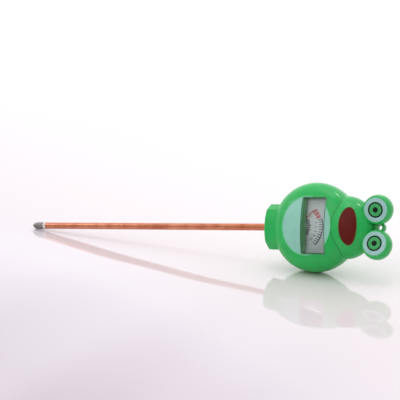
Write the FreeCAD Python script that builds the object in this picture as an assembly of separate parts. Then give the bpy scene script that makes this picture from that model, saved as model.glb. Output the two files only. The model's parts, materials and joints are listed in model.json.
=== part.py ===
import FreeCAD, Part
import math
import os

# Frog-shaped galvanic soil moisture probe, in millimetres.
# Frame: origin on the probe axis where the tube leaves the collar, +Z from the probe towards
# the head, the face looks along -Y and +X is to the right of someone who reads the dial.
# "depth" below is the distance in front of the probe axis, that is, along -Y.

V = FreeCAD.Vector

# ---- probe ----
PROBE_LENGTH = 210.0        # collar face to the point
TUBE_R = 2.5
TUBE_BORE_R = 1.9
TUBE_TOP = 9.5              # end of the tube inside the collar
TUBE_SEAT_R = TUBE_R - 0.2  # the tube is turned down where the collar holds it
TIP_R = TUBE_R + 0.15
TIP_LENGTH = 11.5
TIP_POINT_LENGTH = 5.5
RING_R = TUBE_R + 0.22
RING_WIDTH = 2.3
RING_SPIGOT = 3.0
ROD_R = 0.8
ROD_THREAD_DEPTH = 5.0
ROD_TOP = 12.8
SLEEVE_TOP = 10.6
SLEEVE_GAP = 0.05           # sleeve to tube bore

# ---- body, a drum of revolution about a line along Y ----
BODY_R = 30.7
BODY_LIFT = 3.8             # lowest point of the drum above the collar's lower face
BODY_Z = BODY_LIFT + BODY_R
BODY_FRONT = 17.5
BODY_BACK = 17.5
BODY_RIM_R = 12.7           # rounding of the rim
BODY_BAND = 1.5             # half width of the flat band at the parting line
WALL = 2.0

# ---- head, an ellipsoid ----
HEAD_SINK = 8.8             # the head's centre lies this far inside the drum
HEAD_Z = BODY_Z + BODY_R - HEAD_SINK
HEAD_HALF_WIDTH = 21.5
HEAD_HALF_DEPTH = 15.6
HEAD_RISE = 21.2            # top of the head above its centre
CREASE_R = 2.0              # fillet where the head meets the drum

# ---- collar ----
COLLAR_HALF_WIDTH = 15.7
COLLAR_HALF_DEPTH = 11.9
COLLAR_FACET_X = 11.5       # where the flat facets start
COLLAR_FACET_DEPTH = 9.3
COLLAR_SIDE_DEPTH = 3.5
COLLAR_HEIGHT = 12.0
COLLAR_CHAMFER = 0.8

# ---- window and dial ----
WINDOW_HALF_WIDTH = 19.0
WINDOW_LOW = BODY_Z - 4.0
WINDOW_HIGH = BODY_Z + 12.4
WELL_WALL = 1.5
WELL_BACK = 9.6             # depth of the well's inner end, in front of the pointer
LENS_INSET = 0.4            # lens below the drum's face
LENS_T = 1.2
LENS_LEDGE = 0.7
LENS_GAP = 0.1
DIAL_FRONT = 7.6
DIAL_T = 0.8
DIAL_HALF_WIDTH = WINDOW_HALF_WIDTH + 0.8
DIAL_MARGIN = 2.4           # dial plate beyond the window, above and below
DIAL_TAB_HALF_WIDTH = 10.5
DIAL_SHELL_GAP = 0.3        # the plate's corners clear the shell
DIAL_TAB_GAP = 0.55          # above the lead that passes below the tab
DIAL_HOLE_R = 2.4

# ---- badges ----
BELLY_X = 20.0
BELLY_Z = 17.9
BELLY_CENTRE_Z = BODY_Z - 1.1
MOUTH_X = 12.7
MOUTH_Z = 5.9
MOUTH_CENTRE_Z = HEAD_Z + 6.7
BADGE_T = 0.6

# ---- eyes ----
EYE_R = 10.1
EYE_SPREAD = 1.6            # each ball stands this far from the middle
EYE_X = EYE_R + EYE_SPREAD
EYE_Z = HEAD_Z + 24.2
EYE_DEPTH = 4.1
EYE_WALL = 1.4
EYE_FLAT = 4.8              # flat front, ahead of the ball's centre
EYE_RIM = 0.8               # ring of the flat left round the disc
EYE_DISC_R = math.sqrt(EYE_R ** 2 - EYE_FLAT ** 2) - EYE_RIM
EYE_DISC_T = 0.8
EYE_RECESS = 0.4            # how far the disc lies in the ball
EYE_LEDGE = 0.8
EYE_TOE_IN = 7.0            # the flats turn a little towards each other, degrees

# ---- hanging loop ----
LOOP_Z = HEAD_Z + 24.8
LOOP_HOLE_R = 1.5
LOOP_R = 3.4
LOOP_T = 3.0

# ---- movement ----
PIVOT_Z = WINDOW_LOW - 5.6
SWEEP = 90.0                # pointer travel, degrees
CORE_R = 4.4
CORE_FRONT = 4.2
CORE_LENGTH = 8.0
CORE_CLAMP_T = 0.5
CORE_CLAMP_W = 2.4
YOKE_BORE_R = 6.4
YOKE_R = 8.6
CUP_R = 10.0
CUP_BACK = 7.2              # behind the axis
CUP_SHOULDER_R = 7.6
EAR_X = CUP_R + 3.6
EAR_R = 3.0
EAR_T = 2.0
COIL_IN = 4.95              # inside of the coil former, across
COIL_FRONT = 5.1            # inside of the coil former, towards the dial
COIL_REAR = 4.4             # inside of the coil former, towards the back
FORMER_T = 0.25
WINDING_T = 0.7
COIL_W = 2.4
PIVOT_R = 0.35
PIVOT_GAP = 0.05            # pivot to its bearing
PIVOT_IN_BEARING = 0.3
BEARING_R = 1.2
BEARING_CUP = 0.5
BEARING_OUT = 0.9           # bearing screw beyond its bridge
FRONT_BRIDGE = 10.6         # back face of the front bridge, as depth
BRIDGE_T = 1.4
BRIDGE_HALF_HEIGHT = 2.0
BRIDGE_SCREW_X = (YOKE_R + CUP_R) / 2
BRIDGE_LEG_R = 1.3
SMALL_SCREW_R = 0.5
SMALL_HEAD_R = 1.0
SMALL_HEAD_H = 0.6
SMALL_SCREW_BITE = 3.0
POINTER_BACK = 8.6
POINTER_T = 0.3
POINTER_LENGTH = 16.0
POINTER_ROOT_W = 1.2
POINTER_TIP_W = 0.5
POINTER_TAIL = 5.0
HUB_R = 1.2
HUB_BACK = 8.3
HUB_T = 0.9
WEIGHT_R = 0.75
WEIGHT_T = 0.5
SPRING_IN = 0.8
SPRING_PITCH = 0.7
SPRING_TURNS = 4
SPRING_STRIP = 0.2
SPRING_H = 0.3
SPRING_STUD_R = 0.35
SPRING_STAND = 0.55         # hairspring to the face of its bridge

# ---- screws and bosses ----
BOSS_R = 4.2
BOSS_X = BODY_R - 9.7
BOSS_Z = BODY_Z - 13.0
HEAD_BOSS_Z = HEAD_Z + 11.1
SCREW_R = 1.4
SCREW_HEAD_R = 2.8
SCREW_HEAD_H = 2.0
SCREW_BITE = 9.0            # length in the front shell
SCREW_SEAT = 7.0            # screw head's seat, behind the parting plane
SCREW_HOLE_R = 1.6
COUNTERBORE_R = 3.1
MOVEMENT_BOSS_R = 2.6
MOVEMENT_SCREW_R = 1.0
MOVEMENT_SCREW_BITE = 5.0

# ---- probe clamp and terminals ----
BUSH_R = 5.0
BUSH_FLANGE_R = 6.5
BUSH_FLANGE_Z = 4.2
BUSH_FLANGE_T = 2.0
BUSH_TOP = 8.4
SADDLE_HALF_WIDTH = 8.5
SADDLE_HALF_DEPTH = 8.0
TAG_T = 0.6
TAG_R = 3.6
TAG_ARM = 7.0
TAG_W = 2.0
TUBE_TAG_Z = 8.7
ROD_TAG_Z = 11.4
WIRE_R = 0.45
REAR_LEAD_RISE = 3.0        # straight start of a lead above its terminal
FRONT_LEAD_RISE = 2.2
BEND_SHARE = 0.45           # share of the shorter run that a bend may take

TINY = 1e-4
BODY_AXIS = V(0, 0, BODY_Z)
PIVOT = V(0, 0, PIVOT_Z)
REST_ANGLE = -SWEEP / 2


def box(x0, x1, y0, y1, z0, z1):
    return Part.makeBox(x1 - x0, y1 - y0, z1 - z0, V(x0, y0, z0))


def rod_z(radius, z0, z1, x=0.0, y=0.0):
    return Part.makeCylinder(radius, z1 - z0, V(x, y, z0), V(0, 0, 1))


def rod_depth(radius, back, front, x=0.0, z=PIVOT_Z):
    """A cylinder along Y between two depths."""
    return Part.makeCylinder(radius, front - back, V(x, -back, z), V(0, -1, 0))


def slab(x_half, back, front, z0, z1):
    return box(-x_half, x_half, -front, -back, z0, z1)


def fuse(shapes):
    first = shapes[0]
    if len(shapes) == 1:
        return first
    return first.fuse(shapes[1:]).removeSplitter()


def face_of(edges):
    return Part.Face(Part.Wire(edges))


def line(a, b):
    return Part.LineSegment(a, b).toShape()


def arc(a, b, c):
    return Part.Arc(a, b, c).toShape()


def ellipse_prism(x_half, z_half, z_centre, depth0, depth1):
    """An elliptical prism along Y, for the outline of a badge."""
    round_prism = Part.makeCylinder(1.0, depth1 - depth0, V(0, -depth0, 0), V(0, -1, 0))
    stretch = FreeCAD.Matrix()
    stretch.A11 = x_half
    stretch.A33 = z_half
    shape = round_prism.transformGeometry(stretch)
    shape.translate(V(0, 0, z_centre))
    return shape


# ---- outer shapes ----

def dome_profile(inset, apex, side):
    """Half section of the body on one side of the parting plane: side -1 is the front."""
    band = BODY_BAND
    rim_r = BODY_RIM_R - inset
    centre_x = BODY_R - BODY_RIM_R
    rise = apex - inset - band
    crown_r = (centre_x ** 2 - rim_r ** 2 + rise ** 2) / (2 * (rise - rim_r))
    drop = crown_r - rise
    share = crown_r / (crown_r - rim_r)
    join = V(centre_x * share, 0, 0)
    join_depth = band + drop * (share - 1)
    half = math.atan2(join.x, join_depth - band + drop) / 2
    crown_mid = V(crown_r * math.sin(half), side * (band - drop + crown_r * math.cos(half)), 0)
    tilt = (math.atan2(join_depth - band, join.x - centre_x)) / 2
    rim_mid = V(centre_x + rim_r * math.cos(tilt), side * (band + rim_r * math.sin(tilt)), 0)
    top = V(0, side * (apex - inset), 0)
    joint = V(join.x, side * join_depth, 0)
    rim_top = V(centre_x + rim_r, side * band, 0)
    rim_foot = V(centre_x + rim_r, 0, 0)
    origin = V(0, 0, 0)
    return face_of([
        arc(top, crown_mid, joint),
        arc(joint, rim_mid, rim_top),
        line(rim_top, rim_foot),
        line(rim_foot, origin),
        line(origin, top),
    ])


def dome(inset, apex, side):
    section = dome_profile(inset, apex, side)
    section.translate(BODY_AXIS)
    return section.revolve(BODY_AXIS, V(0, 1, 0), 360)


def head(inset):
    """The head: an ellipsoid on the part's middle plane."""
    stretch = FreeCAD.Matrix()
    stretch.A11 = HEAD_HALF_WIDTH - inset
    stretch.A22 = HEAD_HALF_DEPTH - inset
    stretch.A33 = HEAD_RISE - inset
    shape = Part.makeSphere(1.0).transformGeometry(stretch)
    shape.translate(V(0, 0, HEAD_Z))
    return shape


def collar(inset, z0, z1):
    """The collar's faceted block: arcs front and back, flat facets and flat sides."""
    edges = []
    for s in (-1, 1):
        facet_x = s * COLLAR_FACET_X
        facet_y = s * COLLAR_FACET_DEPTH
        side_x = s * COLLAR_HALF_WIDTH
        side_y = s * COLLAR_SIDE_DEPTH
        edges.append(arc(V(-facet_x, facet_y, z0), V(0, s * COLLAR_HALF_DEPTH, z0), V(facet_x, facet_y, z0)))
        edges.append(line(V(facet_x, facet_y, z0), V(side_x, side_y, z0)))
        edges.append(line(V(side_x, side_y, z0), V(side_x, -side_y, z0)))
        edges.append(line(V(side_x, -side_y, z0), V(facet_x, -facet_y, z0)))
    section = Part.Face(Part.Wire(Part.__sortEdges__(edges)))
    if inset > 0:
        section = section.makeOffset2D(-inset)
    return section.extrude(V(0, 0, z1 - z0))


def hang_loop():
    """A flat eye that stands up between the two eyes."""
    eye = Part.makeCylinder(LOOP_R, LOOP_T, V(0, -LOOP_T / 2, LOOP_Z), V(0, 1, 0))
    foot_z = HEAD_Z + HEAD_RISE - WALL
    stem = box(-LOOP_R, LOOP_R, -LOOP_T / 2, LOOP_T / 2, foot_z, LOOP_Z)
    hole = Part.makeCylinder(LOOP_HOLE_R, LOOP_T, V(0, -LOOP_T / 2, LOOP_Z), V(0, 1, 0))
    return eye.fuse(stem).cut(hole)


def eye_centre(side):
    return V(side * EYE_X, -EYE_DEPTH, EYE_Z)


def on_skin(shape, point):
    """Whether a point lies on a solid's surface."""
    return shape.Shells[0].distToShape(Part.Vertex(point))[0] < TINY


def crease_edges(form):
    """The edges that lie both on the drum's surface and on the head's."""
    drum = dome(0, BODY_FRONT, -1).fuse(dome(0, BODY_BACK, 1)).removeSplitter()
    skull = head(0)
    found = []
    for edge in form.Edges:
        if edge.Degenerated:
            continue
        middle = edge.valueAt((edge.FirstParameter + edge.LastParameter) / 2)
        ends = [middle] + [vertex.Point for vertex in edge.Vertexes]
        if all(on_skin(drum, point) and on_skin(skull, point) for point in ends):
            found.append(edge)
    return found


def outer_form():
    block = collar(0, 0, COLLAR_HEIGHT)
    lower_edges = [e for e in block.Edges if abs(e.BoundBox.ZMax) < TINY]
    block = block.makeChamfer(COLLAR_CHAMFER, lower_edges)
    form = dome(0, BODY_FRONT, -1).fuse([dome(0, BODY_BACK, 1), head(0)]).removeSplitter()
    form = form.makeFillet(CREASE_R, crease_edges(form))
    form = form.fuse([block, hang_loop()])
    for side in (-1, 1):
        form = form.cut(Part.makeSphere(EYE_R, eye_centre(side)))
    return form


def cavity():
    parts = [dome(WALL, BODY_FRONT, -1), dome(WALL, BODY_BACK, 1), head(WALL)]
    parts.append(collar(WALL, WALL, COLLAR_HEIGHT + WALL))
    return parts[0].fuse(parts[1:])


def half_space(side):
    reach = 3 * BODY_R
    low, high = (-reach, 0) if side < 0 else (0, reach)
    return box(-reach, reach, low, high, -1, LOOP_Z + reach)


# ---- shells ----

def saddle():
    """Solid block in the collar, bored for the clamp bush and the tube."""
    block = box(-SADDLE_HALF_WIDTH, SADDLE_HALF_WIDTH, -SADDLE_HALF_DEPTH, SADDLE_HALF_DEPTH,
                WALL, BUSH_TOP)
    return block.cut(bush_form())


def bush_form():
    barrel = rod_z(BUSH_R, WALL, BUSH_TOP)
    flange = rod_z(BUSH_FLANGE_R, BUSH_FLANGE_Z, BUSH_FLANGE_Z + BUSH_FLANGE_T)
    return barrel.fuse(flange)


def boss_places():
    return [(-BOSS_X, BOSS_Z), (BOSS_X, BOSS_Z), (0.0, HEAD_BOSS_Z)]


def window_opening(depth0, depth1, margin=0.0):
    return slab(WINDOW_HALF_WIDTH + margin, depth0, depth1, WINDOW_LOW - margin, WINDOW_HIGH + margin)


def window_well():
    """Walls that carry the lens and shade the dial."""
    outer = window_opening(WELL_BACK, BODY_FRONT, WELL_WALL)
    return outer.common(dome(0, BODY_FRONT, -1))


def window_cut():
    """The opening: full size down to the ledge, then smaller by the ledge's width."""
    below = dome(LENS_INSET + LENS_T, BODY_FRONT, -1)
    seat = window_opening(WELL_BACK, BODY_FRONT + 1).cut(below)
    throat = window_opening(WELL_BACK, BODY_FRONT, -LENS_LEDGE)
    return seat.fuse(throat)


def front_shell(form, hollow):
    shell = form.cut(hollow)
    posts = [rod_depth(BOSS_R, 0, BODY_FRONT + HEAD_HALF_DEPTH, x, z) for x, z in boss_places()]
    posts = [post.common(hollow) for post in posts]
    shell = shell.fuse(posts + [window_well(), saddle()]).cut(window_cut())
    shell = shell.cut([badge_space(), mouth_space(), rod_z(TUBE_SEAT_R, 0, WALL)])
    pilots = [rod_depth(SCREW_R, 0, SCREW_BITE, x, z) for x, z in boss_places()]
    return shell.cut(pilots).common(half_space(-1))


def rear_shell(form, hollow):
    shell = form.cut(hollow)
    bosses = [rod_depth(BOSS_R, -BODY_BACK - HEAD_HALF_DEPTH, 0, x, z) for x, z in boss_places()]
    stub_x = (-EAR_X, EAR_X)
    bosses += [rod_depth(MOVEMENT_BOSS_R, -BODY_BACK, -CUP_BACK, x) for x in stub_x]
    bosses = [boss.common(hollow) for boss in bosses]
    shell = shell.fuse(bosses + [saddle()])
    holes = [rod_z(TUBE_SEAT_R, 0, WALL)]
    for x, z in boss_places():
        holes.append(rod_depth(SCREW_HOLE_R, -SCREW_SEAT, 0, x, z))
        holes.append(rod_depth(COUNTERBORE_R, -BODY_BACK - HEAD_HALF_DEPTH, -SCREW_SEAT, x, z))
    for x in stub_x:
        holes.append(rod_depth(MOVEMENT_SCREW_R, -CUP_BACK - MOVEMENT_SCREW_BITE, -CUP_BACK, x))
    return shell.cut(holes).common(half_space(1))


def badge_space():
    layer = dome(0, BODY_FRONT, -1).cut(dome(BADGE_T, BODY_FRONT, -1))
    patch = layer.common(ellipse_prism(BELLY_X, BELLY_Z, BELLY_CENTRE_Z, BODY_BAND, BODY_FRONT + 1))
    return patch.cut(head(0))


def belly_badge():
    return badge_space().cut(window_opening(0, BODY_FRONT + 1))


def mouth_space():
    layer = head(0).cut(head(BADGE_T))
    return layer.common(ellipse_prism(MOUTH_X, MOUTH_Z, MOUTH_CENTRE_Z, BODY_BAND, HEAD_HALF_DEPTH + 1))


# ---- eyes ----

def turned_in(shape, side):
    shape.rotate(eye_centre(side), V(0, 0, 1), -side * EYE_TOE_IN)
    return shape


def eye_ball(side):
    centre = eye_centre(side)
    front = EYE_DEPTH + EYE_FLAT
    ball = Part.makeSphere(EYE_R, centre)
    ball = ball.cut(slab(3 * EYE_R, front, front + EYE_R, EYE_Z - 2 * EYE_R, EYE_Z + 2 * EYE_R))
    inside = Part.makeSphere(EYE_R - EYE_WALL, centre)
    keep_out = rod_depth(3 * EYE_R, front - EYE_DISC_T, front + EYE_R, centre.x, EYE_Z)
    inside = inside.cut(keep_out)
    mouth = rod_depth(EYE_DISC_R - EYE_LEDGE, EYE_DEPTH, front, centre.x, EYE_Z)
    recess = rod_depth(EYE_DISC_R, front - EYE_RECESS, front + 1, centre.x, EYE_Z)
    return turned_in(ball.cut([inside, mouth, recess]), side)


def eye_disc(side):
    back = EYE_DEPTH + EYE_FLAT - EYE_RECESS
    return turned_in(rod_depth(EYE_DISC_R, back, back + EYE_DISC_T, side * EYE_X, EYE_Z), side)


# ---- window and dial ----

def window_lens():
    """The lens follows the drum's face and rests on the ledge in the opening."""
    layer = dome(LENS_INSET, BODY_FRONT, -1).cut(dome(LENS_INSET + LENS_T, BODY_FRONT, -1))
    return layer.common(window_opening(WELL_BACK, BODY_FRONT, -LENS_GAP))


def cup_screw_places():
    reach = (YOKE_R + CUP_R) / 2
    slant = reach * math.sqrt(0.5)
    return [(-slant, PIVOT_Z - slant), (slant, PIVOT_Z - slant)]


def dial_tab_low():
    """The tab's lower edge, above the lead to the front bridge."""
    return ROD_TAG_Z + TAG_T + FRONT_LEAD_RISE + WIRE_R + DIAL_TAB_GAP


def dial_plate():
    back = DIAL_FRONT - DIAL_T
    low = WINDOW_LOW - DIAL_MARGIN
    plate = slab(DIAL_HALF_WIDTH, back, DIAL_FRONT, low, WINDOW_HIGH + DIAL_MARGIN)
    plate = plate.fuse(slab(DIAL_TAB_HALF_WIDTH, back, DIAL_FRONT, dial_tab_low(), low))
    holes = [rod_depth(DIAL_HOLE_R, back, DIAL_FRONT)]
    for x in (-BRIDGE_SCREW_X, BRIDGE_SCREW_X):
        holes.append(rod_depth(BRIDGE_LEG_R, back, DIAL_FRONT, x))
    for x, z in cup_screw_places():
        holes.append(rod_depth(SMALL_SCREW_R, back, DIAL_FRONT, x, z))
    plate = plate.removeSplitter().common(dome(WALL + DIAL_SHELL_GAP, BODY_FRONT, -1))
    return plate.cut(holes)


# ---- movement, the fixed parts ----

def movement_cup():
    front = DIAL_FRONT - DIAL_T
    shoulder = CORE_FRONT - CORE_LENGTH
    cup = rod_depth(CUP_R, -CUP_BACK, front)
    ears = []
    for x in (-EAR_X, EAR_X):
        ears.append(rod_depth(EAR_R, -CUP_BACK, -CUP_BACK + EAR_T, x))
        ears.append(box(min(x, 0), max(x, 0), CUP_BACK - EAR_T, CUP_BACK, PIVOT_Z - EAR_R, PIVOT_Z + EAR_R))
    cup = cup.fuse(ears)
    holes = [rod_depth(YOKE_R, shoulder, front), rod_depth(CUP_SHOULDER_R, -CUP_BACK, shoulder)]
    for x in (-EAR_X, EAR_X):
        holes.append(rod_depth(MOVEMENT_SCREW_R, -CUP_BACK, -CUP_BACK + EAR_T, x))
    for x, z in cup_screw_places():
        holes.append(rod_depth(SMALL_SCREW_R, front - SMALL_SCREW_BITE, front, x, z))
    for x in (-BRIDGE_SCREW_X, BRIDGE_SCREW_X):
        holes.append(rod_depth(SMALL_SCREW_R, front - SMALL_SCREW_BITE, front, x))
        holes.append(rod_depth(SMALL_SCREW_R, -CUP_BACK, -CUP_BACK + SMALL_SCREW_BITE, x))
    return cup.cut(holes)


def yoke_ring():
    back = CORE_FRONT - CORE_LENGTH
    return rod_depth(YOKE_R, back, CORE_FRONT).cut(rod_depth(YOKE_BORE_R, back, CORE_FRONT))


def core_magnet():
    return rod_depth(CORE_R, CORE_FRONT - CORE_LENGTH, CORE_FRONT)


def core_clamp():
    """Brass strip across the yoke that holds the core, clear of the coil's sweep."""
    strip = slab(CORE_CLAMP_W / 2, CORE_FRONT, CORE_FRONT + CORE_CLAMP_T, PIVOT_Z - YOKE_R, PIVOT_Z + YOKE_R)
    return strip.common(rod_depth(YOKE_R, CORE_FRONT, CORE_FRONT + CORE_CLAMP_T))


def bridge_bar(back, holes_r):
    bar = slab(CUP_R, back, back + BRIDGE_T, PIVOT_Z - BRIDGE_HALF_HEIGHT, PIVOT_Z + BRIDGE_HALF_HEIGHT)
    holes = [rod_depth(BEARING_R, back, back + BRIDGE_T)]
    for x in (-BRIDGE_SCREW_X, BRIDGE_SCREW_X):
        holes.append(rod_depth(holes_r, back, back + BRIDGE_T, x))
    return bar, holes


def spring_stud(bridge_face, towards):
    """Peg that holds the hairspring's outer end."""
    reach = SPRING_STAND + SPRING_H
    ends = sorted((bridge_face, bridge_face + towards * reach))
    return rod_depth(SPRING_STUD_R, ends[0], ends[1], spring_outer())


def front_bridge():
    bar, holes = bridge_bar(FRONT_BRIDGE, SMALL_SCREW_R)
    legs = []
    for x in (-BRIDGE_SCREW_X, BRIDGE_SCREW_X):
        legs.append(rod_depth(BRIDGE_LEG_R, DIAL_FRONT - DIAL_T, FRONT_BRIDGE, x))
        holes.append(rod_depth(SMALL_SCREW_R, DIAL_FRONT - DIAL_T, FRONT_BRIDGE, x))
    return bar.fuse(legs + [spring_stud(FRONT_BRIDGE, -1)]).cut(holes)


def rear_bridge():
    back = -CUP_BACK - BRIDGE_T
    bar, holes = bridge_bar(back, SMALL_SCREW_R)
    return bar.fuse(spring_stud(-CUP_BACK, 1)).cut(holes)


def bearing_screws():
    """Two screws with a cup at the inner end, one in each bridge."""
    cup_r = PIVOT_R + PIVOT_GAP
    front = rod_depth(BEARING_R, FRONT_BRIDGE, FRONT_BRIDGE + BRIDGE_T + BEARING_OUT)
    front = front.cut(rod_depth(cup_r, FRONT_BRIDGE, FRONT_BRIDGE + BEARING_CUP))
    rear = rod_depth(BEARING_R, -CUP_BACK - BRIDGE_T - BEARING_OUT, -CUP_BACK)
    rear = rear.cut(rod_depth(cup_r, -CUP_BACK - BEARING_CUP, -CUP_BACK))
    return Part.makeCompound([front, rear])


def small_screw(x, z, seat, tip, outward):
    """A screw along Y: seat is the depth under its head, outward is +1 to the front."""
    shank = rod_depth(SMALL_SCREW_R, min(seat, tip), max(seat, tip), x, z)
    head_ends = sorted((seat, seat + outward * SMALL_HEAD_H))
    return shank.fuse(rod_depth(SMALL_HEAD_R, head_ends[0], head_ends[1], x, z))


def bridge_screws():
    cup_front = DIAL_FRONT - DIAL_T
    screws = []
    for x in (-BRIDGE_SCREW_X, BRIDGE_SCREW_X):
        screws.append(small_screw(x, PIVOT_Z, FRONT_BRIDGE + BRIDGE_T, cup_front - SMALL_SCREW_BITE, 1))
        screws.append(small_screw(x, PIVOT_Z, -CUP_BACK - BRIDGE_T, -CUP_BACK + SMALL_SCREW_BITE, -1))
    return Part.makeCompound(screws)


def dial_screws():
    tip = DIAL_FRONT - DIAL_T - SMALL_SCREW_BITE
    return Part.makeCompound([small_screw(x, z, DIAL_FRONT, tip, 1) for x, z in cup_screw_places()])


def movement_screws():
    screws = []
    seat = -CUP_BACK + EAR_T
    for x in (-EAR_X, EAR_X):
        shank = rod_depth(MOVEMENT_SCREW_R, -CUP_BACK - MOVEMENT_SCREW_BITE, seat, x)
        screws.append(shank.fuse(rod_depth(2 * MOVEMENT_SCREW_R, seat, seat + MOVEMENT_SCREW_R, x)))
    return Part.makeCompound(screws)


# ---- movement, the moving parts, drawn with the pointer up and turned to rest ----

def at_rest(shape):
    shape.rotate(PIVOT, V(0, 1, 0), REST_ANGLE)
    return shape


def coil_ring(gap, thick):
    """A rectangular ring about the core, a gap outside the former's own opening."""
    low = PIVOT_Z - COIL_W / 2
    high = PIVOT_Z + COIL_W / 2
    inner = slab(COIL_IN + gap, -COIL_REAR - gap, COIL_FRONT + gap, low, high)
    far = gap + thick
    outer = slab(COIL_IN + far, -COIL_REAR - far, COIL_FRONT + far, low, high)
    return outer.cut(inner)


def coil_former():
    return at_rest(coil_ring(0, FORMER_T))


def coil_winding():
    return at_rest(coil_ring(FORMER_T, WINDING_T))


def pivot_front():
    start = COIL_FRONT + FORMER_T + WINDING_T
    return rod_depth(PIVOT_R, start, FRONT_BRIDGE + PIVOT_IN_BEARING)


def pivot_rear():
    start = COIL_REAR + FORMER_T + WINDING_T
    return rod_depth(PIVOT_R, -CUP_BACK - PIVOT_IN_BEARING, -start)


def pointer():
    root = POINTER_ROOT_W / 2
    tip = POINTER_TIP_W / 2
    y = -POINTER_BACK
    corners = [V(-root, y, PIVOT_Z - POINTER_TAIL), V(-root, y, PIVOT_Z),
               V(-tip, y, PIVOT_Z + POINTER_LENGTH), V(tip, y, PIVOT_Z + POINTER_LENGTH),
               V(root, y, PIVOT_Z), V(root, y, PIVOT_Z - POINTER_TAIL)]
    outline = Part.makePolygon(corners + corners[:1])
    blade = Part.Face(outline).extrude(V(0, -POINTER_T, 0))
    hub = rod_depth(HUB_R, HUB_BACK, HUB_BACK + HUB_T)
    return at_rest(blade.fuse(hub).cut(rod_depth(PIVOT_R, HUB_BACK, HUB_BACK + HUB_T)))


def balance_weights():
    """Two beads on the pointer's tail."""
    front = POINTER_BACK + POINTER_T
    beads = [rod_depth(WEIGHT_R, front, front + WEIGHT_T, 0, PIVOT_Z - POINTER_TAIL + WEIGHT_R),
             rod_depth(WEIGHT_R, front, front + WEIGHT_T, 0, PIVOT_Z - POINTER_TAIL + 3 * WEIGHT_R)]
    return at_rest(Part.makeCompound(beads))


def spring_outer():
    return SPRING_IN + SPRING_PITCH * SPRING_TURNS


def spiral_edge(offset, y):
    """Half circles that make one edge of the spiral strip, from the middle outwards."""
    step = SPRING_PITCH / 2
    arcs = []
    for half_turn in range(2 * SPRING_TURNS):
        side = 1 if half_turn % 2 == 0 else -1
        centre = 0 if side > 0 else step
        radius = SPRING_IN + half_turn * step + offset
        arcs.append(arc(V(centre + side * radius, y, PIVOT_Z), V(centre, y, PIVOT_Z + side * radius),
                        V(centre - side * radius, y, PIVOT_Z)))
    return arcs


def hairspring(back, stud):
    """A flat spiral strip, with a collet on the pivot and its end at the stud."""
    half = SPRING_STRIP / 2
    y = -back
    edges = spiral_edge(half, y) + spiral_edge(-half, y)
    for radius in (SPRING_IN, spring_outer()):
        edges.append(line(V(radius - half, y, PIVOT_Z), V(radius + half, y, PIVOT_Z)))
    section = Part.Face(Part.Wire(Part.__sortEdges__(edges)))
    strip = section.extrude(V(0, -SPRING_H, 0))
    collet = rod_depth(SPRING_IN, back, back + SPRING_H)
    return strip.fuse(collet).cut([rod_depth(PIVOT_R, back, back + SPRING_H), stud])


def hairspring_front():
    back = FRONT_BRIDGE - SPRING_STAND - SPRING_H
    return hairspring(back, spring_stud(FRONT_BRIDGE, -1))


def hairspring_rear():
    back = -CUP_BACK + SPRING_STAND
    return hairspring(back, spring_stud(-CUP_BACK, 1))


# ---- probe ----

TIP_TOP = -PROBE_LENGTH + TIP_LENGTH
TUBE_END = TIP_TOP + RING_WIDTH


def probe_tube():
    tube = rod_z(TUBE_R, TUBE_END, 0).fuse(rod_z(TUBE_SEAT_R, 0, TUBE_TOP))
    return tube.cut(rod_z(TUBE_BORE_R, TUBE_END, TUBE_TOP))


def probe_tip():
    """Cylinder with an ogive point, bored for the rod's end."""
    point = -PROBE_LENGTH
    shoulder = point + TIP_POINT_LENGTH
    ogive_r = (TIP_POINT_LENGTH ** 2 + TIP_R ** 2) / (2 * TIP_R)
    half = math.asin(TIP_POINT_LENGTH / ogive_r) / 2
    middle = V(TIP_R - ogive_r * (1 - math.cos(half)), 0, shoulder - ogive_r * math.sin(half))
    section = face_of([
        arc(V(0, 0, point), middle, V(TIP_R, 0, shoulder)),
        line(V(TIP_R, 0, shoulder), V(TIP_R, 0, TIP_TOP)),
        line(V(TIP_R, 0, TIP_TOP), V(0, 0, TIP_TOP)),
        line(V(0, 0, TIP_TOP), V(0, 0, point)),
    ])
    solid = section.revolve(V(0, 0, 0), V(0, 0, 1), 360)
    return solid.cut(rod_z(ROD_R, TIP_TOP - ROD_THREAD_DEPTH, TIP_TOP))


def insulator_ring():
    collar_part = rod_z(RING_R, TIP_TOP, TUBE_END)
    spigot = rod_z(TUBE_BORE_R, TUBE_END, TUBE_END + RING_SPIGOT)
    return collar_part.fuse(spigot).cut(rod_z(ROD_R, TIP_TOP, TUBE_END + RING_SPIGOT))


def insulating_sleeve():
    low = TUBE_END + RING_SPIGOT
    return rod_z(TUBE_BORE_R - SLEEVE_GAP, low, SLEEVE_TOP).cut(rod_z(ROD_R, low, SLEEVE_TOP))


def core_rod():
    return rod_z(ROD_R, TIP_TOP - ROD_THREAD_DEPTH, ROD_TOP)


def probe_bush():
    return bush_form().cut(rod_z(TUBE_SEAT_R, WALL, BUSH_TOP))


def terminal(bore_r, ring_r, z, side):
    """A flat ring with an arm to one side."""
    ring = rod_z(ring_r, z, z + TAG_T)
    low, high = sorted((0, side * TAG_ARM))
    arm = box(low, high, -TAG_W / 2, TAG_W / 2, z, z + TAG_T)
    return ring.fuse(arm).cut(rod_z(bore_r, z, z + TAG_T))


def tube_terminal():
    return terminal(TUBE_SEAT_R, TAG_R, TUBE_TAG_Z, 1)


def rod_terminal():
    return terminal(ROD_R, TAG_W, ROD_TAG_Z, -1)


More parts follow.
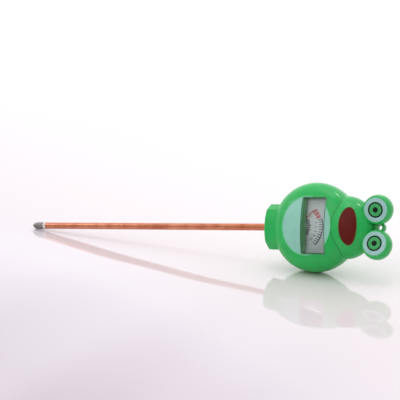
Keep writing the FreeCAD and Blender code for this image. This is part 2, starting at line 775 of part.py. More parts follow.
def wire_along(points):
    """Round wire through the points, with an arc at each bend as large as its runs allow."""
    edges = []
    start = points[0]
    for i in range(1, len(points) - 1):
        before = (points[i - 1] - points[i])
        after = (points[i + 1] - points[i])
        turn = math.pi - before.getAngle(after)
        setback = BEND_SHARE * min(before.Length, after.Length)
        radius = setback / math.tan(turn / 2)
        print("wire bend radius %.2f" % radius)
        before.normalize()
        after.normalize()
        enter = points[i] + before * setback
        leave = points[i] + after * setback
        towards = before + after
        towards.normalize()
        middle = points[i] + towards * (radius / math.cos(turn / 2) - radius)
        edges.append(line(start, enter))
        edges.append(arc(enter, middle, leave))
        start = leave
    edges.append(line(start, points[-1]))
    path = Part.Wire(edges)
    profile = Part.Wire(Part.makeCircle(WIRE_R, points[0], points[1] - points[0]))
    return path.makePipeShell([profile], True, True)


def lead_to_rear_bridge():
    x = TAG_ARM - TAG_W / 2
    back_y = CUP_BACK + BRIDGE_T + WIRE_R
    start_z = TUBE_TAG_Z + TAG_T
    turn_z = start_z + REAR_LEAD_RISE
    rise_z = PIVOT_Z - CUP_R
    points = [V(x, 0, start_z), V(x, 0, turn_z), V(x, back_y, rise_z), V(x, back_y, PIVOT_Z)]
    return wire_along(points)


def lead_to_front_bridge():
    x = -TAG_ARM + TAG_W / 2
    front_y = -FRONT_BRIDGE - WIRE_R
    start_z = ROD_TAG_Z + TAG_T
    turn_z = start_z + FRONT_LEAD_RISE
    points = [V(x, 0, start_z), V(x, 0, turn_z), V(x, front_y, turn_z),
              V(x, front_y, PIVOT_Z - BRIDGE_HALF_HEIGHT)]
    return wire_along(points)


def shell_screws():
    screws = []
    for x, z in boss_places():
        shank = rod_depth(SCREW_R, -SCREW_SEAT, SCREW_BITE, x, z)
        screws.append(shank.fuse(rod_depth(SCREW_HEAD_R, -SCREW_SEAT - SCREW_HEAD_H, -SCREW_SEAT, x, z)))
    return Part.makeCompound(screws)


def build():
    form = outer_form()
    hollow = cavity()
    nodes = {
        "front_shell": front_shell(form, hollow),
        "rear_shell": rear_shell(form, hollow),
        "belly_badge": belly_badge(),
        "mouth_badge": mouth_space(),
        "eye_ball_left": eye_ball(-1),
        "eye_ball_right": eye_ball(1),
        "eye_disc_left": eye_disc(-1),
        "eye_disc_right": eye_disc(1),
        "window_lens": window_lens(),
        "dial_plate": dial_plate(),
        "movement_cup": movement_cup(),
        "yoke_ring": yoke_ring(),
        "core_magnet": core_magnet(),
        "core_clamp": core_clamp(),
        "front_bridge": front_bridge(),
        "rear_bridge": rear_bridge(),
        "bearing_screws": bearing_screws(),
        "bridge_screws": bridge_screws(),
        "dial_screws": dial_screws(),
        "movement_screws": movement_screws(),
        "coil_former": coil_former(),
        "coil_winding": coil_winding(),
        "pivot_front": pivot_front(),
        "pivot_rear": pivot_rear(),
        "pointer": pointer(),
        "balance_weights": balance_weights(),
        "hairspring_front": hairspring_front(),
        "hairspring_rear": hairspring_rear(),
        "probe_tube": probe_tube(),
        "probe_tip": probe_tip(),
        "insulator_ring": insulator_ring(),
        "insulating_sleeve": insulating_sleeve(),
        "core_rod": core_rod(),
        "probe_bush": probe_bush(),
        "tube_terminal": tube_terminal(),
        "rod_terminal": rod_terminal(),
        "lead_to_rear_bridge": lead_to_rear_bridge(),
        "lead_to_front_bridge": lead_to_front_bridge(),
        "shell_screws": shell_screws(),
    }
    os.makedirs("parts", exist_ok=True)
    for name, shape in nodes.items():
        solids = len(shape.Solids)
        print("%-22s solids %d  valid %s  volume %.1f" % (name, solids, shape.isValid(), shape.Volume))
        shape.exportStep("parts/%s.step" % name)


build()
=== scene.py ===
"""Looks of a frog-shaped soil moisture probe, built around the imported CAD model.

The frame is the part's own: +Z from the probe towards the head, the face looks along -Y, metres.
The housing lies on its side on a pale floor, with the probe to the viewer's left.
"""

import json
import logging
import math
from dataclasses import dataclass, field
from enum import Enum
from typing import Optional

import bmesh
import bpy
from mathutils import Matrix, Vector
from mathutils.bvhtree import BVHTree
from mathutils.geometry import tessellate_polygon


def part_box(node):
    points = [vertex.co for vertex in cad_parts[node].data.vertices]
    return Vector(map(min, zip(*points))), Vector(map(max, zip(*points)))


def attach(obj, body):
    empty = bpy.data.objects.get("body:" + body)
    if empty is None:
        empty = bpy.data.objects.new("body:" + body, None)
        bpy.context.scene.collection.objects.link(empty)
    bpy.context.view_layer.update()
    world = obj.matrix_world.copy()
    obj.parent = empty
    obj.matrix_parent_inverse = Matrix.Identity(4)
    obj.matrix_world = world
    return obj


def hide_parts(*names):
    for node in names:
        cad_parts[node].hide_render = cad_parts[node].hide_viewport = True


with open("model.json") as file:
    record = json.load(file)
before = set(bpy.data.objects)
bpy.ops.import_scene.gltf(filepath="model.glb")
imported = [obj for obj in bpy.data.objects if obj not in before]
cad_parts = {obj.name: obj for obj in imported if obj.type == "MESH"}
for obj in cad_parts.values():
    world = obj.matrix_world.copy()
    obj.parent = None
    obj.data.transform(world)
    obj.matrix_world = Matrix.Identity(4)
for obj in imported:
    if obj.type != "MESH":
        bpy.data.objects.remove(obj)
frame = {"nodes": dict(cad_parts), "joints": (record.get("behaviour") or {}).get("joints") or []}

LOG = logging.getLogger("frog_probe")
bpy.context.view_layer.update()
MM = 0.001
HOUSING = "housing"
MOVEMENT = "movement"
TINY = 1e-6


# ---------------------------------------------------------------------------
# Small helpers
# ---------------------------------------------------------------------------

def linear(hex_colour: str, alpha: float = 1.0) -> tuple[float, float, float, float]:
    """Turn an sRGB hex colour into linear RGBA.

    Args:
        hex_colour: Six hex digits, such as "2fae57".
        alpha: The fourth value.

    Returns:
        Linear red, green, blue and alpha.
    """
    channels = [int(hex_colour[i:i + 2], 16) / 255 for i in (0, 2, 4)]
    light = [c / 12.92 if c <= 0.04045 else ((c + 0.055) / 1.055) ** 2.4 for c in channels]
    return (light[0], light[1], light[2], alpha)


def add_node(tree: bpy.types.NodeTree, kind: str, settings: Optional[dict] = None,
             links: Optional[dict] = None) -> bpy.types.Node:
    """Add one node with its settings and the links into it.

    Args:
        tree: The material's node tree.
        kind: The node's type name.
        settings: Values by attribute name, or by input name or number for sockets.
        links: Source sockets by input name or number.

    Returns:
        The new node.
    """
    node = tree.nodes.new(kind)
    for name, value in (settings or {}).items():
        if isinstance(name, str) and hasattr(node, name):
            setattr(node, name, value)
        else:
            node.inputs[name].default_value = value
    for name, source in (links or {}).items():
        tree.links.new(source, node.inputs[name])
    return node


def ramp(tree: bpy.types.NodeTree, source: bpy.types.NodeSocket,
         stops: list[tuple[float, str]]) -> bpy.types.NodeSocket:
    """Colour ramp over a value.

    Args:
        tree: The material's node tree.
        source: The value that drives the ramp.
        stops: Position and hex colour of each stop, in rising order.

    Returns:
        The ramp's colour socket.
    """
    node = add_node(tree, "ShaderNodeValToRGB", links={"Fac": source})
    elements = node.color_ramp.elements
    while len(elements) < len(stops):
        elements.new(0.5)
    for element, (place, colour) in zip(elements, stops):
        element.position = place
        element.color = linear(colour)
    return node.outputs["Color"]


def per_mm(size_mm: float) -> float:
    """Texture scale that repeats once in a real size given in millimetres."""
    return 1 / (size_mm * MM)


def new_material(name: str) -> tuple[bpy.types.Material, bpy.types.NodeTree, bpy.types.Node]:
    """Make an empty material with a principled shader joined to its output.

    Args:
        name: The material's name.

    Returns:
        The material, its node tree and the shader node.
    """
    material = bpy.data.materials.new(name)
    material.use_nodes = True
    tree = material.node_tree
    tree.nodes.clear()
    shader = add_node(tree, "ShaderNodeBsdfPrincipled")
    add_node(tree, "ShaderNodeOutputMaterial", links={"Surface": shader.outputs[0]})
    return material, tree, shader


def position(tree: bpy.types.NodeTree, stretch: tuple[float, float, float] = (1, 1, 1)) -> bpy.types.NodeSocket:
    """Place on the part in metres, stretched along each axis.

    Args:
        tree: The material's node tree.
        stretch: Scale along X, Y and Z, under 1 for streaks along that axis.

    Returns:
        The vector socket.
    """
    coords = add_node(tree, "ShaderNodeTexCoord")
    mapping = add_node(tree, "ShaderNodeMapping", {"Scale": stretch}, {"Vector": coords.outputs["Object"]})
    return mapping.outputs["Vector"]


def noise(tree: bpy.types.NodeTree, place: bpy.types.NodeSocket, size_mm: float,
          detail: float = 3.0) -> bpy.types.NodeSocket:
    """Cloudy noise whose patches have a real size.

    Args:
        tree: The material's node tree.
        place: The position socket.
        size_mm: Width of a patch.
        detail: Octaves.

    Returns:
        The noise value socket.
    """
    node = add_node(tree, "ShaderNodeTexNoise", {"Scale": per_mm(size_mm), "Detail": detail},
                    {"Vector": place})
    return node.outputs["Fac"]


def span(tree: bpy.types.NodeTree, source: bpy.types.NodeSocket, low: float, high: float) -> bpy.types.NodeSocket:
    """Stretch a noise value, mostly 0.3 to 0.7, over a range.

    Args:
        tree: The material's node tree.
        source: The noise value.
        low: Result at 0.3.
        high: Result at 0.7.

    Returns:
        The result socket.
    """
    node = add_node(tree, "ShaderNodeMapRange", {"From Min": 0.3, "From Max": 0.7, "To Min": low, "To Max": high},
                    {"Value": source})
    return node.outputs["Result"]


def bump(tree: bpy.types.NodeTree, shader: bpy.types.Node, height: bpy.types.NodeSocket,
         depth_mm: float, strength: float = 1.0) -> None:
    """Join a height pattern to a shader's normal.

    Args:
        tree: The material's node tree.
        shader: The principled shader.
        height: Height from 0 to 1.
        depth_mm: Height of 1 in millimetres.
        strength: Share of the bump that is kept.
    """
    node = add_node(tree, "ShaderNodeBump", {"Strength": strength, "Distance": depth_mm * MM}, {"Height": height})
    tree.links.new(node.outputs["Normal"], shader.inputs["Normal"])


def mean(tree: bpy.types.NodeTree, first: bpy.types.NodeSocket,
         second: bpy.types.NodeSocket) -> bpy.types.NodeSocket:
    """The mean of two values.

    Args:
        tree: The material's node tree.
        first: One value.
        second: The other.

    Returns:
        The mean's socket.
    """
    total = add_node(tree, "ShaderNodeMath", {"operation": "ADD"}, {0: first, 1: second})
    return add_node(tree, "ShaderNodeMath", {"operation": "MULTIPLY", 1: 0.5}, {0: total.outputs[0]}).outputs[0]


def mix_surface(tree: bpy.types.NodeTree, share: bpy.types.NodeSocket, first: bpy.types.NodeSocket,
                second: bpy.types.NodeSocket) -> None:
    """Make the surface a mix of two shaders.

    Args:
        tree: The material's node tree.
        share: Share of the second shader.
        first: First shader's socket.
        second: Second shader's socket.
    """
    mix = add_node(tree, "ShaderNodeMixShader", links={0: share, 1: first, 2: second})
    output = next(n for n in tree.nodes if n.type == "OUTPUT_MATERIAL")
    tree.links.new(mix.outputs[0], output.inputs["Surface"])


# ---------------------------------------------------------------------------
# Finishes
# ---------------------------------------------------------------------------

@dataclass(frozen=True)
class MouldedPlastic:
    """Injection-moulded ABS or polystyrene, polished mould: even colour, broad soft gloss.

    Attributes:
        name: Material name.
        colour: Main colour.
        shade: Slightly deeper colour of the flow marks.
        roughness: Mean roughness.
        ior: Index of refraction, 1.54 for ABS.
        glow: Share of light that scatters below the surface.
        flow_mm: Width of the flow marks.
        grain_mm: Width of the ripple that the mould's polish leaves.
        sheen: Strength of the mirror reflection, 0.5 for a clean surface.
    """

    name: str
    colour: str
    shade: str
    roughness: float = 0.3
    ior: float = 1.54
    glow: float = 0.0
    flow_mm: float = 14.0
    grain_mm: float = 0.9
    sheen: float = 0.5

    def make(self) -> bpy.types.Material:
        """Build the material.

        Returns:
            The finished material.
        """
        material, tree, shader = new_material(self.name)
        place = position(tree)
        cloud = noise(tree, place, self.flow_mm)
        colour = ramp(tree, cloud, [(0.35, self.shade), (0.65, self.colour)])
        tree.links.new(colour, shader.inputs["Base Color"])
        uneven = span(tree, noise(tree, place, self.flow_mm / 3), self.roughness - 0.04, self.roughness + 0.05)
        tree.links.new(uneven, shader.inputs["Roughness"])
        shader.inputs["IOR"].default_value = self.ior
        shader.inputs["Specular IOR Level"].default_value = self.sheen
        if self.glow:
            shader.inputs["Subsurface Weight"].default_value = self.glow
            shader.inputs["Subsurface Radius"].default_value = (0.4, 1.0, 0.5)
            shader.inputs["Subsurface Scale"].default_value = 1.2 * MM
        bump(tree, shader, noise(tree, place, self.grain_mm, 2.0), 0.004)
        return material


@dataclass(frozen=True)
class PrintedFilm:
    """Screen-printed vinyl or lacquer: flat colour with a fine speckle and a satin surface.

    Attributes:
        name: Material name.
        colour: Ink colour.
        fleck: Colour of the speckle.
        roughness: Mean roughness.
        fleck_mm: Speckle size, drawn coarser than the real 0.1 mm halftone so that it shows.
        coat: Clear varnish over the ink.
        sheen: Strength of the mirror reflection, 0.5 for a clean surface.
    """

    name: str
    colour: str
    fleck: str
    roughness: float = 0.4
    fleck_mm: float = 0.5
    coat: float = 0.0
    sheen: float = 0.5

    def make(self) -> bpy.types.Material:
        """Build the material.

        Returns:
            The finished material.
        """
        material, tree, shader = new_material(self.name)
        place = position(tree)
        fine = noise(tree, place, self.fleck_mm, 1.0)
        broad = noise(tree, place, 12 * self.fleck_mm, 2.0)
        colour = ramp(tree, mean(tree, fine, broad), [(0.38, self.fleck), (0.58, self.colour)])
        tree.links.new(colour, shader.inputs["Base Color"])
        tree.links.new(span(tree, broad, self.roughness - 0.05, self.roughness + 0.06),
                       shader.inputs["Roughness"])
        shader.inputs["IOR"].default_value = 1.5
        shader.inputs["Specular IOR Level"].default_value = self.sheen
        shader.inputs["Coat Weight"].default_value = self.coat
        shader.inputs["Coat Roughness"].default_value = 0.12
        bump(tree, shader, fine, 0.003)
        return material


@dataclass(frozen=True)
class DrawnMetal:
    """Drawn, turned or plated metal: streaks along or round the piece and a dull film in patches.

    Attributes:
        name: Material name.
        colour: Bright metal.
        film: Colour of the dull film.
        roughness: Mean roughness.
        streak: Stretch of the streaks along X, Y and Z.
        streak_mm: Width of a streak, drawn coarser than the real 0.05 mm so that it shows.
        film_mm: Width of the film's patches.
    """

    name: str
    colour: str
    film: str
    roughness: float = 0.3
    streak: tuple[float, float, float] = (1.0, 1.0, 0.02)
    streak_mm: float = 0.35
    film_mm: float = 9.0

    def make(self) -> bpy.types.Material:
        """Build the material.

        Returns:
            The finished material.
        """
        material, tree, shader = new_material(self.name)
        streaks = noise(tree, position(tree, self.streak), self.streak_mm, 2.0)
        patches = noise(tree, position(tree), self.film_mm, 4.0)
        colour = ramp(tree, mean(tree, streaks, patches), [(0.36, self.film), (0.6, self.colour)])
        tree.links.new(colour, shader.inputs["Base Color"])
        tree.links.new(span(tree, streaks, self.roughness + 0.08, self.roughness - 0.06),
                       shader.inputs["Roughness"])
        shader.inputs["Metallic"].default_value = 1.0
        bump(tree, shader, streaks, 0.006, 0.6)
        return material


@dataclass(frozen=True)
class ClearAcrylic:
    """Moulded clear acrylic sheet: light passes straight, each face mirrors its Fresnel share.

    Attributes:
        name: Material name.
        tint: Colour of the light that passes.
        roughness: Mean roughness.
    """

    name: str
    tint: str = "f9fbfa"
    roughness: float = 0.03

    def make(self) -> bpy.types.Material:
        """Build the material.

        Returns:
            The finished material.
        """
        material, tree, shader = new_material(self.name)
        shader.inputs["Base Color"].default_value = linear(self.tint)
        shader.inputs["Metallic"].default_value = 1.0
        ripple = noise(tree, position(tree), 6.0, 1.0)
        tree.links.new(span(tree, ripple, self.roughness, self.roughness + 0.03), shader.inputs["Roughness"])
        bump(tree, shader, ripple, 0.02)
        through = add_node(tree, "ShaderNodeBsdfTransparent", {"Color": linear(self.tint)})
        share = add_node(tree, "ShaderNodeFresnel", {"IOR": 1.49})
        mix_surface(tree, share.outputs[0], through.outputs[0], shader.outputs[0])
        return material


@dataclass(frozen=True)
class WoundWire:
    """Enamelled copper winding: fine turns side by side under a glossy varnish.

    Attributes:
        name: Material name.
        colour: Varnished copper.
        groove: Colour between the turns.
        turn_mm: Spacing of the turns, drawn coarser than the real 0.05 mm so that it shows.
    """

    name: str
    colour: str
    groove: str
    turn_mm: float = 0.25

    def make(self) -> bpy.types.Material:
        """Build the material.

        Returns:
            The finished material.
        """
        material, tree, shader = new_material(self.name)
        # one band of the wave is a tenth of 2 pi long at scale 1, so the scale is the real pitch times that
        wave = add_node(tree, "ShaderNodeTexWave",
                        {"bands_direction": "Y", "Scale": per_mm(self.turn_mm) * math.tau / 20, "Distortion": 0.4},
                        {"Vector": position(tree)})
        colour = ramp(tree, wave.outputs["Fac"], [(0.1, self.groove), (0.6, self.colour)])
        tree.links.new(colour, shader.inputs["Base Color"])
        shader.inputs["Metallic"].default_value = 0.7
        shader.inputs["Roughness"].default_value = 0.35
        shader.inputs["Coat Weight"].default_value = 0.6
        bump(tree, shader, wave.outputs["Fac"], 0.05, 0.7)
        return material


class Finish(Enum):
    """Every finish on the object, by what it is in the workshop."""

    # bright green ABS, glossy, slightly translucent, so its edges look lit from inside
    GREEN_ABS = MouldedPlastic("green_abs_moulded", "23bd5a", "20b555", 0.22, 1.54, 0.12, sheen=0.36)
    # the same ABS drawn lighter than the shell: a painted highlight on the beads round the belly badge
    GREEN_ABS_RIM = MouldedPlastic("green_abs_painted_highlight", "62dc92", "56d388", 0.14, 1.54, 0.12, sheen=0.8)
    # the same ABS drawn darker than the shell: painted shade in the neck's crease
    GREEN_ABS_SEAM = MouldedPlastic("green_abs_painted_shade", "229a4e", "1d8f47", 0.2, 1.54, 0.05)
    # grey of the dark well seen through a clear edge, painted on the window's frame as shade
    LENS_EDGE = MouldedPlastic("grey_lens_edge_painted_shade", "5b7a6b", "4f6d5f", 0.2, 1.5, 0.0, 5.0, 0.5)
    # mint vinyl set into the belly, satin, with a fine halftone
    MINT_VINYL = PrintedFilm("mint_vinyl_printed", "94d2be", "8ccab6", 0.36, 0.6, 0.0, 0.4)
    # dark red lacquer in the mouth, with a slightly uneven coat
    MOUTH_LACQUER = PrintedFilm("maroon_lacquer", "68180e", "5a130b", 0.42, 0.8, sheen=0.16)
    # brown edge of the mouth's inset
    MOUTH_EDGE = PrintedFilm("mouth_edge_lacquer", "5f7a3a", "4f6a30", 0.4, 0.5)
    # pearl polystyrene discs of the eyes, with a cool tone
    PEARL_PS = PrintedFilm("pearl_polystyrene", "a2d0c9", "98c8c0", 0.3, 0.5, 0.1, 0.3)
    BLACK_INK = PrintedFilm("black_ink", "0a1a12", "07120d", 0.36, 0.4, 0.0, 0.16)
    IRIS_INK = PrintedFilm("green_ink", "42b262", "3aa65a", 0.36, 0.4, 0.0, 0.25)
    # dial card, matt white lacquer
    DIAL_CARD = PrintedFilm("dial_card_lacquer", "f0f2f6", "e9ecf1", 0.6, 0.4)
    RED_INK = PrintedFilm("red_ink", "e0485c", "d03c50", 0.5, 0.4)
    BLUE_INK = PrintedFilm("blue_ink", "2f4468", "283b5b", 0.5, 0.4)
    GREY_INK = PrintedFilm("grey_ink", "2b3336", "22292c", 0.5, 0.4)
    CLEAR_LENS = ClearAcrylic("clear_acrylic_moulded")
    # copper-plated tube, drawn lengthwise, dulled by handling
    COPPER_TUBE = DrawnMetal("copper_drawn", "dd9472", "b9694a", 0.27)
    # dark cast zinc tip, turned
    ZINC_TIP = DrawnMetal("zinc_turned", "98918f", "7b7473", 0.36, (0.1, 0.1, 1.0), 0.4, 4.0)
    # white nylon insulator, softer gloss than the ABS
    WHITE_NYLON = MouldedPlastic("white_nylon_moulded", "ece5df", "e2dad3", 0.42, 1.53, 0.1, 5.0, 0.5)
    BLACK_ABS = MouldedPlastic("black_abs_moulded", "1a1c1d", "131516", 0.4, 1.54)
    ZINC_PLATED_STEEL = DrawnMetal("steel_zinc_plated", "c2c6c9", "9da1a4", 0.28, (1.0, 0.05, 1.0), 0.3, 4.0)
    BRASS = DrawnMetal("brass_turned", "d9b36a", "b9914c", 0.25, (1.0, 0.05, 1.0), 0.3, 4.0)
    ALNICO = DrawnMetal("alnico_ground", "8d8b88", "6f6d6a", 0.38, (1.0, 0.05, 1.0), 0.4, 5.0)
    COPPER_WIRE = WoundWire("copper_wire_enamelled", "b8653a", "5d2f18")
    POINTER_RED = PrintedFilm("red_enamel", "d3283a", "bd2132", 0.3, 0.5, 0.5)
    RED_PVC = MouldedPlastic("red_pvc_extruded", "b8342f", "a62c28", 0.45, 1.52, 0.0, 5.0, 0.5)
    BLACK_PVC = MouldedPlastic("black_pvc_extruded", "1d1e20", "151617", 0.45, 1.52, 0.0, 5.0, 0.5)


class Palette:
    """Makes each finish's material once and puts it on pieces."""

    def __init__(self) -> None:
        """Start with no materials made."""
        self.made: dict[Finish, bpy.types.Material] = {}

    def material(self, finish: Finish) -> bpy.types.Material:
        """The material of a finish, made when first asked for.

        Args:
            finish: The finish.

        Returns:
            Its material.
        """
        if finish not in self.made:
            self.made[finish] = finish.value.make()
        return self.made[finish]

    def dress(self, piece: bpy.types.Object, finish: Finish) -> None:
        """Put one finish all over a piece."""
        piece.data.materials.clear()
        piece.data.materials.append(self.material(finish))

    def dress_nodes(self, finish: Finish, *nodes: str) -> None:
        """Put one finish on CAD nodes.

        Args:
            finish: The finish.
            nodes: Names of CAD nodes.
        """
        for node in nodes:
            self.dress(frame["nodes"][node], finish)
            LOG.info("%s: %s", node, finish.value.name)


# ---------------------------------------------------------------------------
# Mesh tools
# ---------------------------------------------------------------------------

def mesh_piece(name: str, points: list[Vector], faces: list[tuple[int, ...]], body: str) -> bpy.types.Object:
    """Make a smooth-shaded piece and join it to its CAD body.

    Args:
        name: The piece's name.
        points: Vertices in the row frame, in metres.
        faces: Vertex numbers of each face.
        body: The CAD body it moves with.

    Returns:
        The new object.
    """
    mesh = bpy.data.meshes.new(name)
    mesh.from_pydata([tuple(p) for p in points], [], faces)
    work = bmesh.new()
    work.from_mesh(mesh)
    bmesh.ops.remove_doubles(work, verts=work.verts, dist=1e-7)
    bmesh.ops.recalc_face_normals(work, faces=work.faces)
    work.to_mesh(mesh)
    work.free()
    mesh.shade_smooth()
    mesh.set_sharp_from_angle(angle=math.radians(35))
    piece = bpy.data.objects.new(name, mesh)
    bpy.context.scene.collection.objects.link(piece)
    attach(piece, body)
    LOG.info("%s: %d faces, rides on %s", name, len(mesh.polygons), body)
    return piece


@dataclass
class Tube:
    """A round bead along a path, with rounded ends when it is open.

    Attributes:
        radius: Radius of the section in metres.
        sides: Points round the section.
        cap_rings: Rings in each rounded end.
    """

    radius: float
    sides: int = 12
    cap_rings: int = 4

    def _frames(self, path: list[Vector], closed: bool) -> list[tuple[Vector, Vector]]:
        """Two directions across the path at each point, carried along without twist.

        Args:
            path: Points in metres.
            closed: Whether the last point joins the first.

        Returns:
            A pair of directions for each point.
        """
        count = len(path)
        frames = []
        across = None
        for i in range(count):
            before = path[(i - 1) % count] if closed or i else path[0]
            after = path[(i + 1) % count] if closed or i < count - 1 else path[-1]
            along = (after - before).normalized()
            if across is None:
                seed = Vector((0, 1, 0)) if abs(along.y) < 0.9 else Vector((1, 0, 0))
                across = along.cross(seed)
            across = (across - along * across.dot(along)).normalized()
            frames.append((across.copy(), along.cross(across)))
        return frames

    def build(self, path: list[Vector], closed: bool) -> tuple[list[Vector], list[tuple[int, ...]]]:
        """Sweep the section along a path.

        Args:
            path: Points in metres.
            closed: Whether the last point joins the first.

        Returns:
            Vertices and faces.
        """
        frames = self._frames(path, closed)
        rings = [(p, self.radius, a, b) for p, (a, b) in zip(path, frames)]
        if not closed:
            rings = self._cap(path[0], path[0] - path[1], frames[0])[::-1] + rings
            rings += self._cap(path[-1], path[-1] - path[-2], frames[-1])
        points = []
        for centre, radius, a, b in rings:
            for k in range(self.sides):
                turn = math.tau * k / self.sides
                points.append(centre + radius * (a * math.cos(turn) + b * math.sin(turn)))
        faces = []
        last = len(rings) if closed else len(rings) - 1
        for i in range(last):
            j = (i + 1) % len(rings)
            for k in range(self.sides):
                m = (k + 1) % self.sides
                faces.append((i * self.sides + k, i * self.sides + m, j * self.sides + m, j * self.sides + k))
        if not closed:
            faces.append(tuple(range(self.sides)))
            faces.append(tuple(range(len(points) - self.sides, len(points))))
        return points, faces

    def _cap(self, end: Vector, outwards: Vector, across: tuple[Vector, Vector]) -> list[tuple]:
        """Rings that round off one end, from the path outwards.

        Args:
            end: The path's last point.
            outwards: Direction past that point.
            across: The two directions across the path there.

        Returns:
            Centre, radius and the two directions of each ring.
        """
        direction = outwards.normalized()
        rings = []
        for k in range(1, self.cap_rings + 1):
            turn = 0.5 * math.pi * k / (self.cap_rings + 0.4)
            rings.append((end + direction * self.radius * math.sin(turn), self.radius * math.cos(turn), *across))
        return rings


class Skin:
    """The outer face of the housing, found from the front."""

    def __init__(self, nodes: tuple[str, ...]) -> None:
        """Collect the nodes' faces.

        Args:
            nodes: CAD nodes that make the skin.
        """
        points: list[Vector] = []
        faces: list[tuple[int, ...]] = []
        for node in nodes:
            mesh = frame["nodes"][node].data
            start = len(points)
            points += [v.co.copy() for v in mesh.vertices]
            faces += [tuple(start + i for i in p.vertices) for p in mesh.polygons]
        self.tree = BVHTree.FromPolygons(points, faces)

    def at(self, x: float, z: float) -> Vector:
        """The skin's point in front of a place on the parting plane, in metres."""
        hit = self.tree.ray_cast(Vector((x, -1.0, z)), Vector((0, 1, 0)))[0]
        return hit if hit is not None else Vector((x, 0, z))


def plate_faces(rings: list[list[int]]) -> list[tuple[int, ...]]:
    """Faces between successive closed rings of vertices of equal length.

    Args:
        rings: Vertex numbers of each ring.

    Returns:
        The faces.
    """
    faces = []
    for inner, outer in zip(rings, rings[1:]):
        count = len(inner)
        for k in range(count):
            m = (k + 1) % count
            faces.append((inner[k], inner[m], outer[m], outer[k]))
    return faces


def lathe(profile: list[tuple[float, float]], centre: Vector, axis: Vector,
          sides: int = 48) -> tuple[list[Vector], list[tuple[int, ...]]]:
    """Turn a profile about an axis.

    Args:
        profile: Radius and height of each point, in metres; ends on the axis are closed.
        centre: Where height 0 lies on the axis.
        axis: Direction of growing height.
        sides: Points round the axis.

    Returns:
        Vertices and faces.
    """
    up = axis.normalized()
    seed = Vector((1, 0, 0)) if abs(up.x) < 0.9 else Vector((0, 0, 1))
    side = (seed - up * seed.dot(up)).normalized()
    other = up.cross(side)
    points = []
    rings = []
    for radius, height in profile:
        ring = []
        for k in range(sides):
            turn = math.tau * k / sides
            ring.append(len(points))
            outwards = side * math.cos(turn) + other * math.sin(turn)
            points.append(centre + up * height + max(radius, TINY) * outwards)
        rings.append(ring)
    faces = plate_faces(rings)
    faces.append(tuple(rings[0]))
    faces.append(tuple(rings[-1]))
    return points, faces


# ---------------------------------------------------------------------------
# Housing
# ---------------------------------------------------------------------------

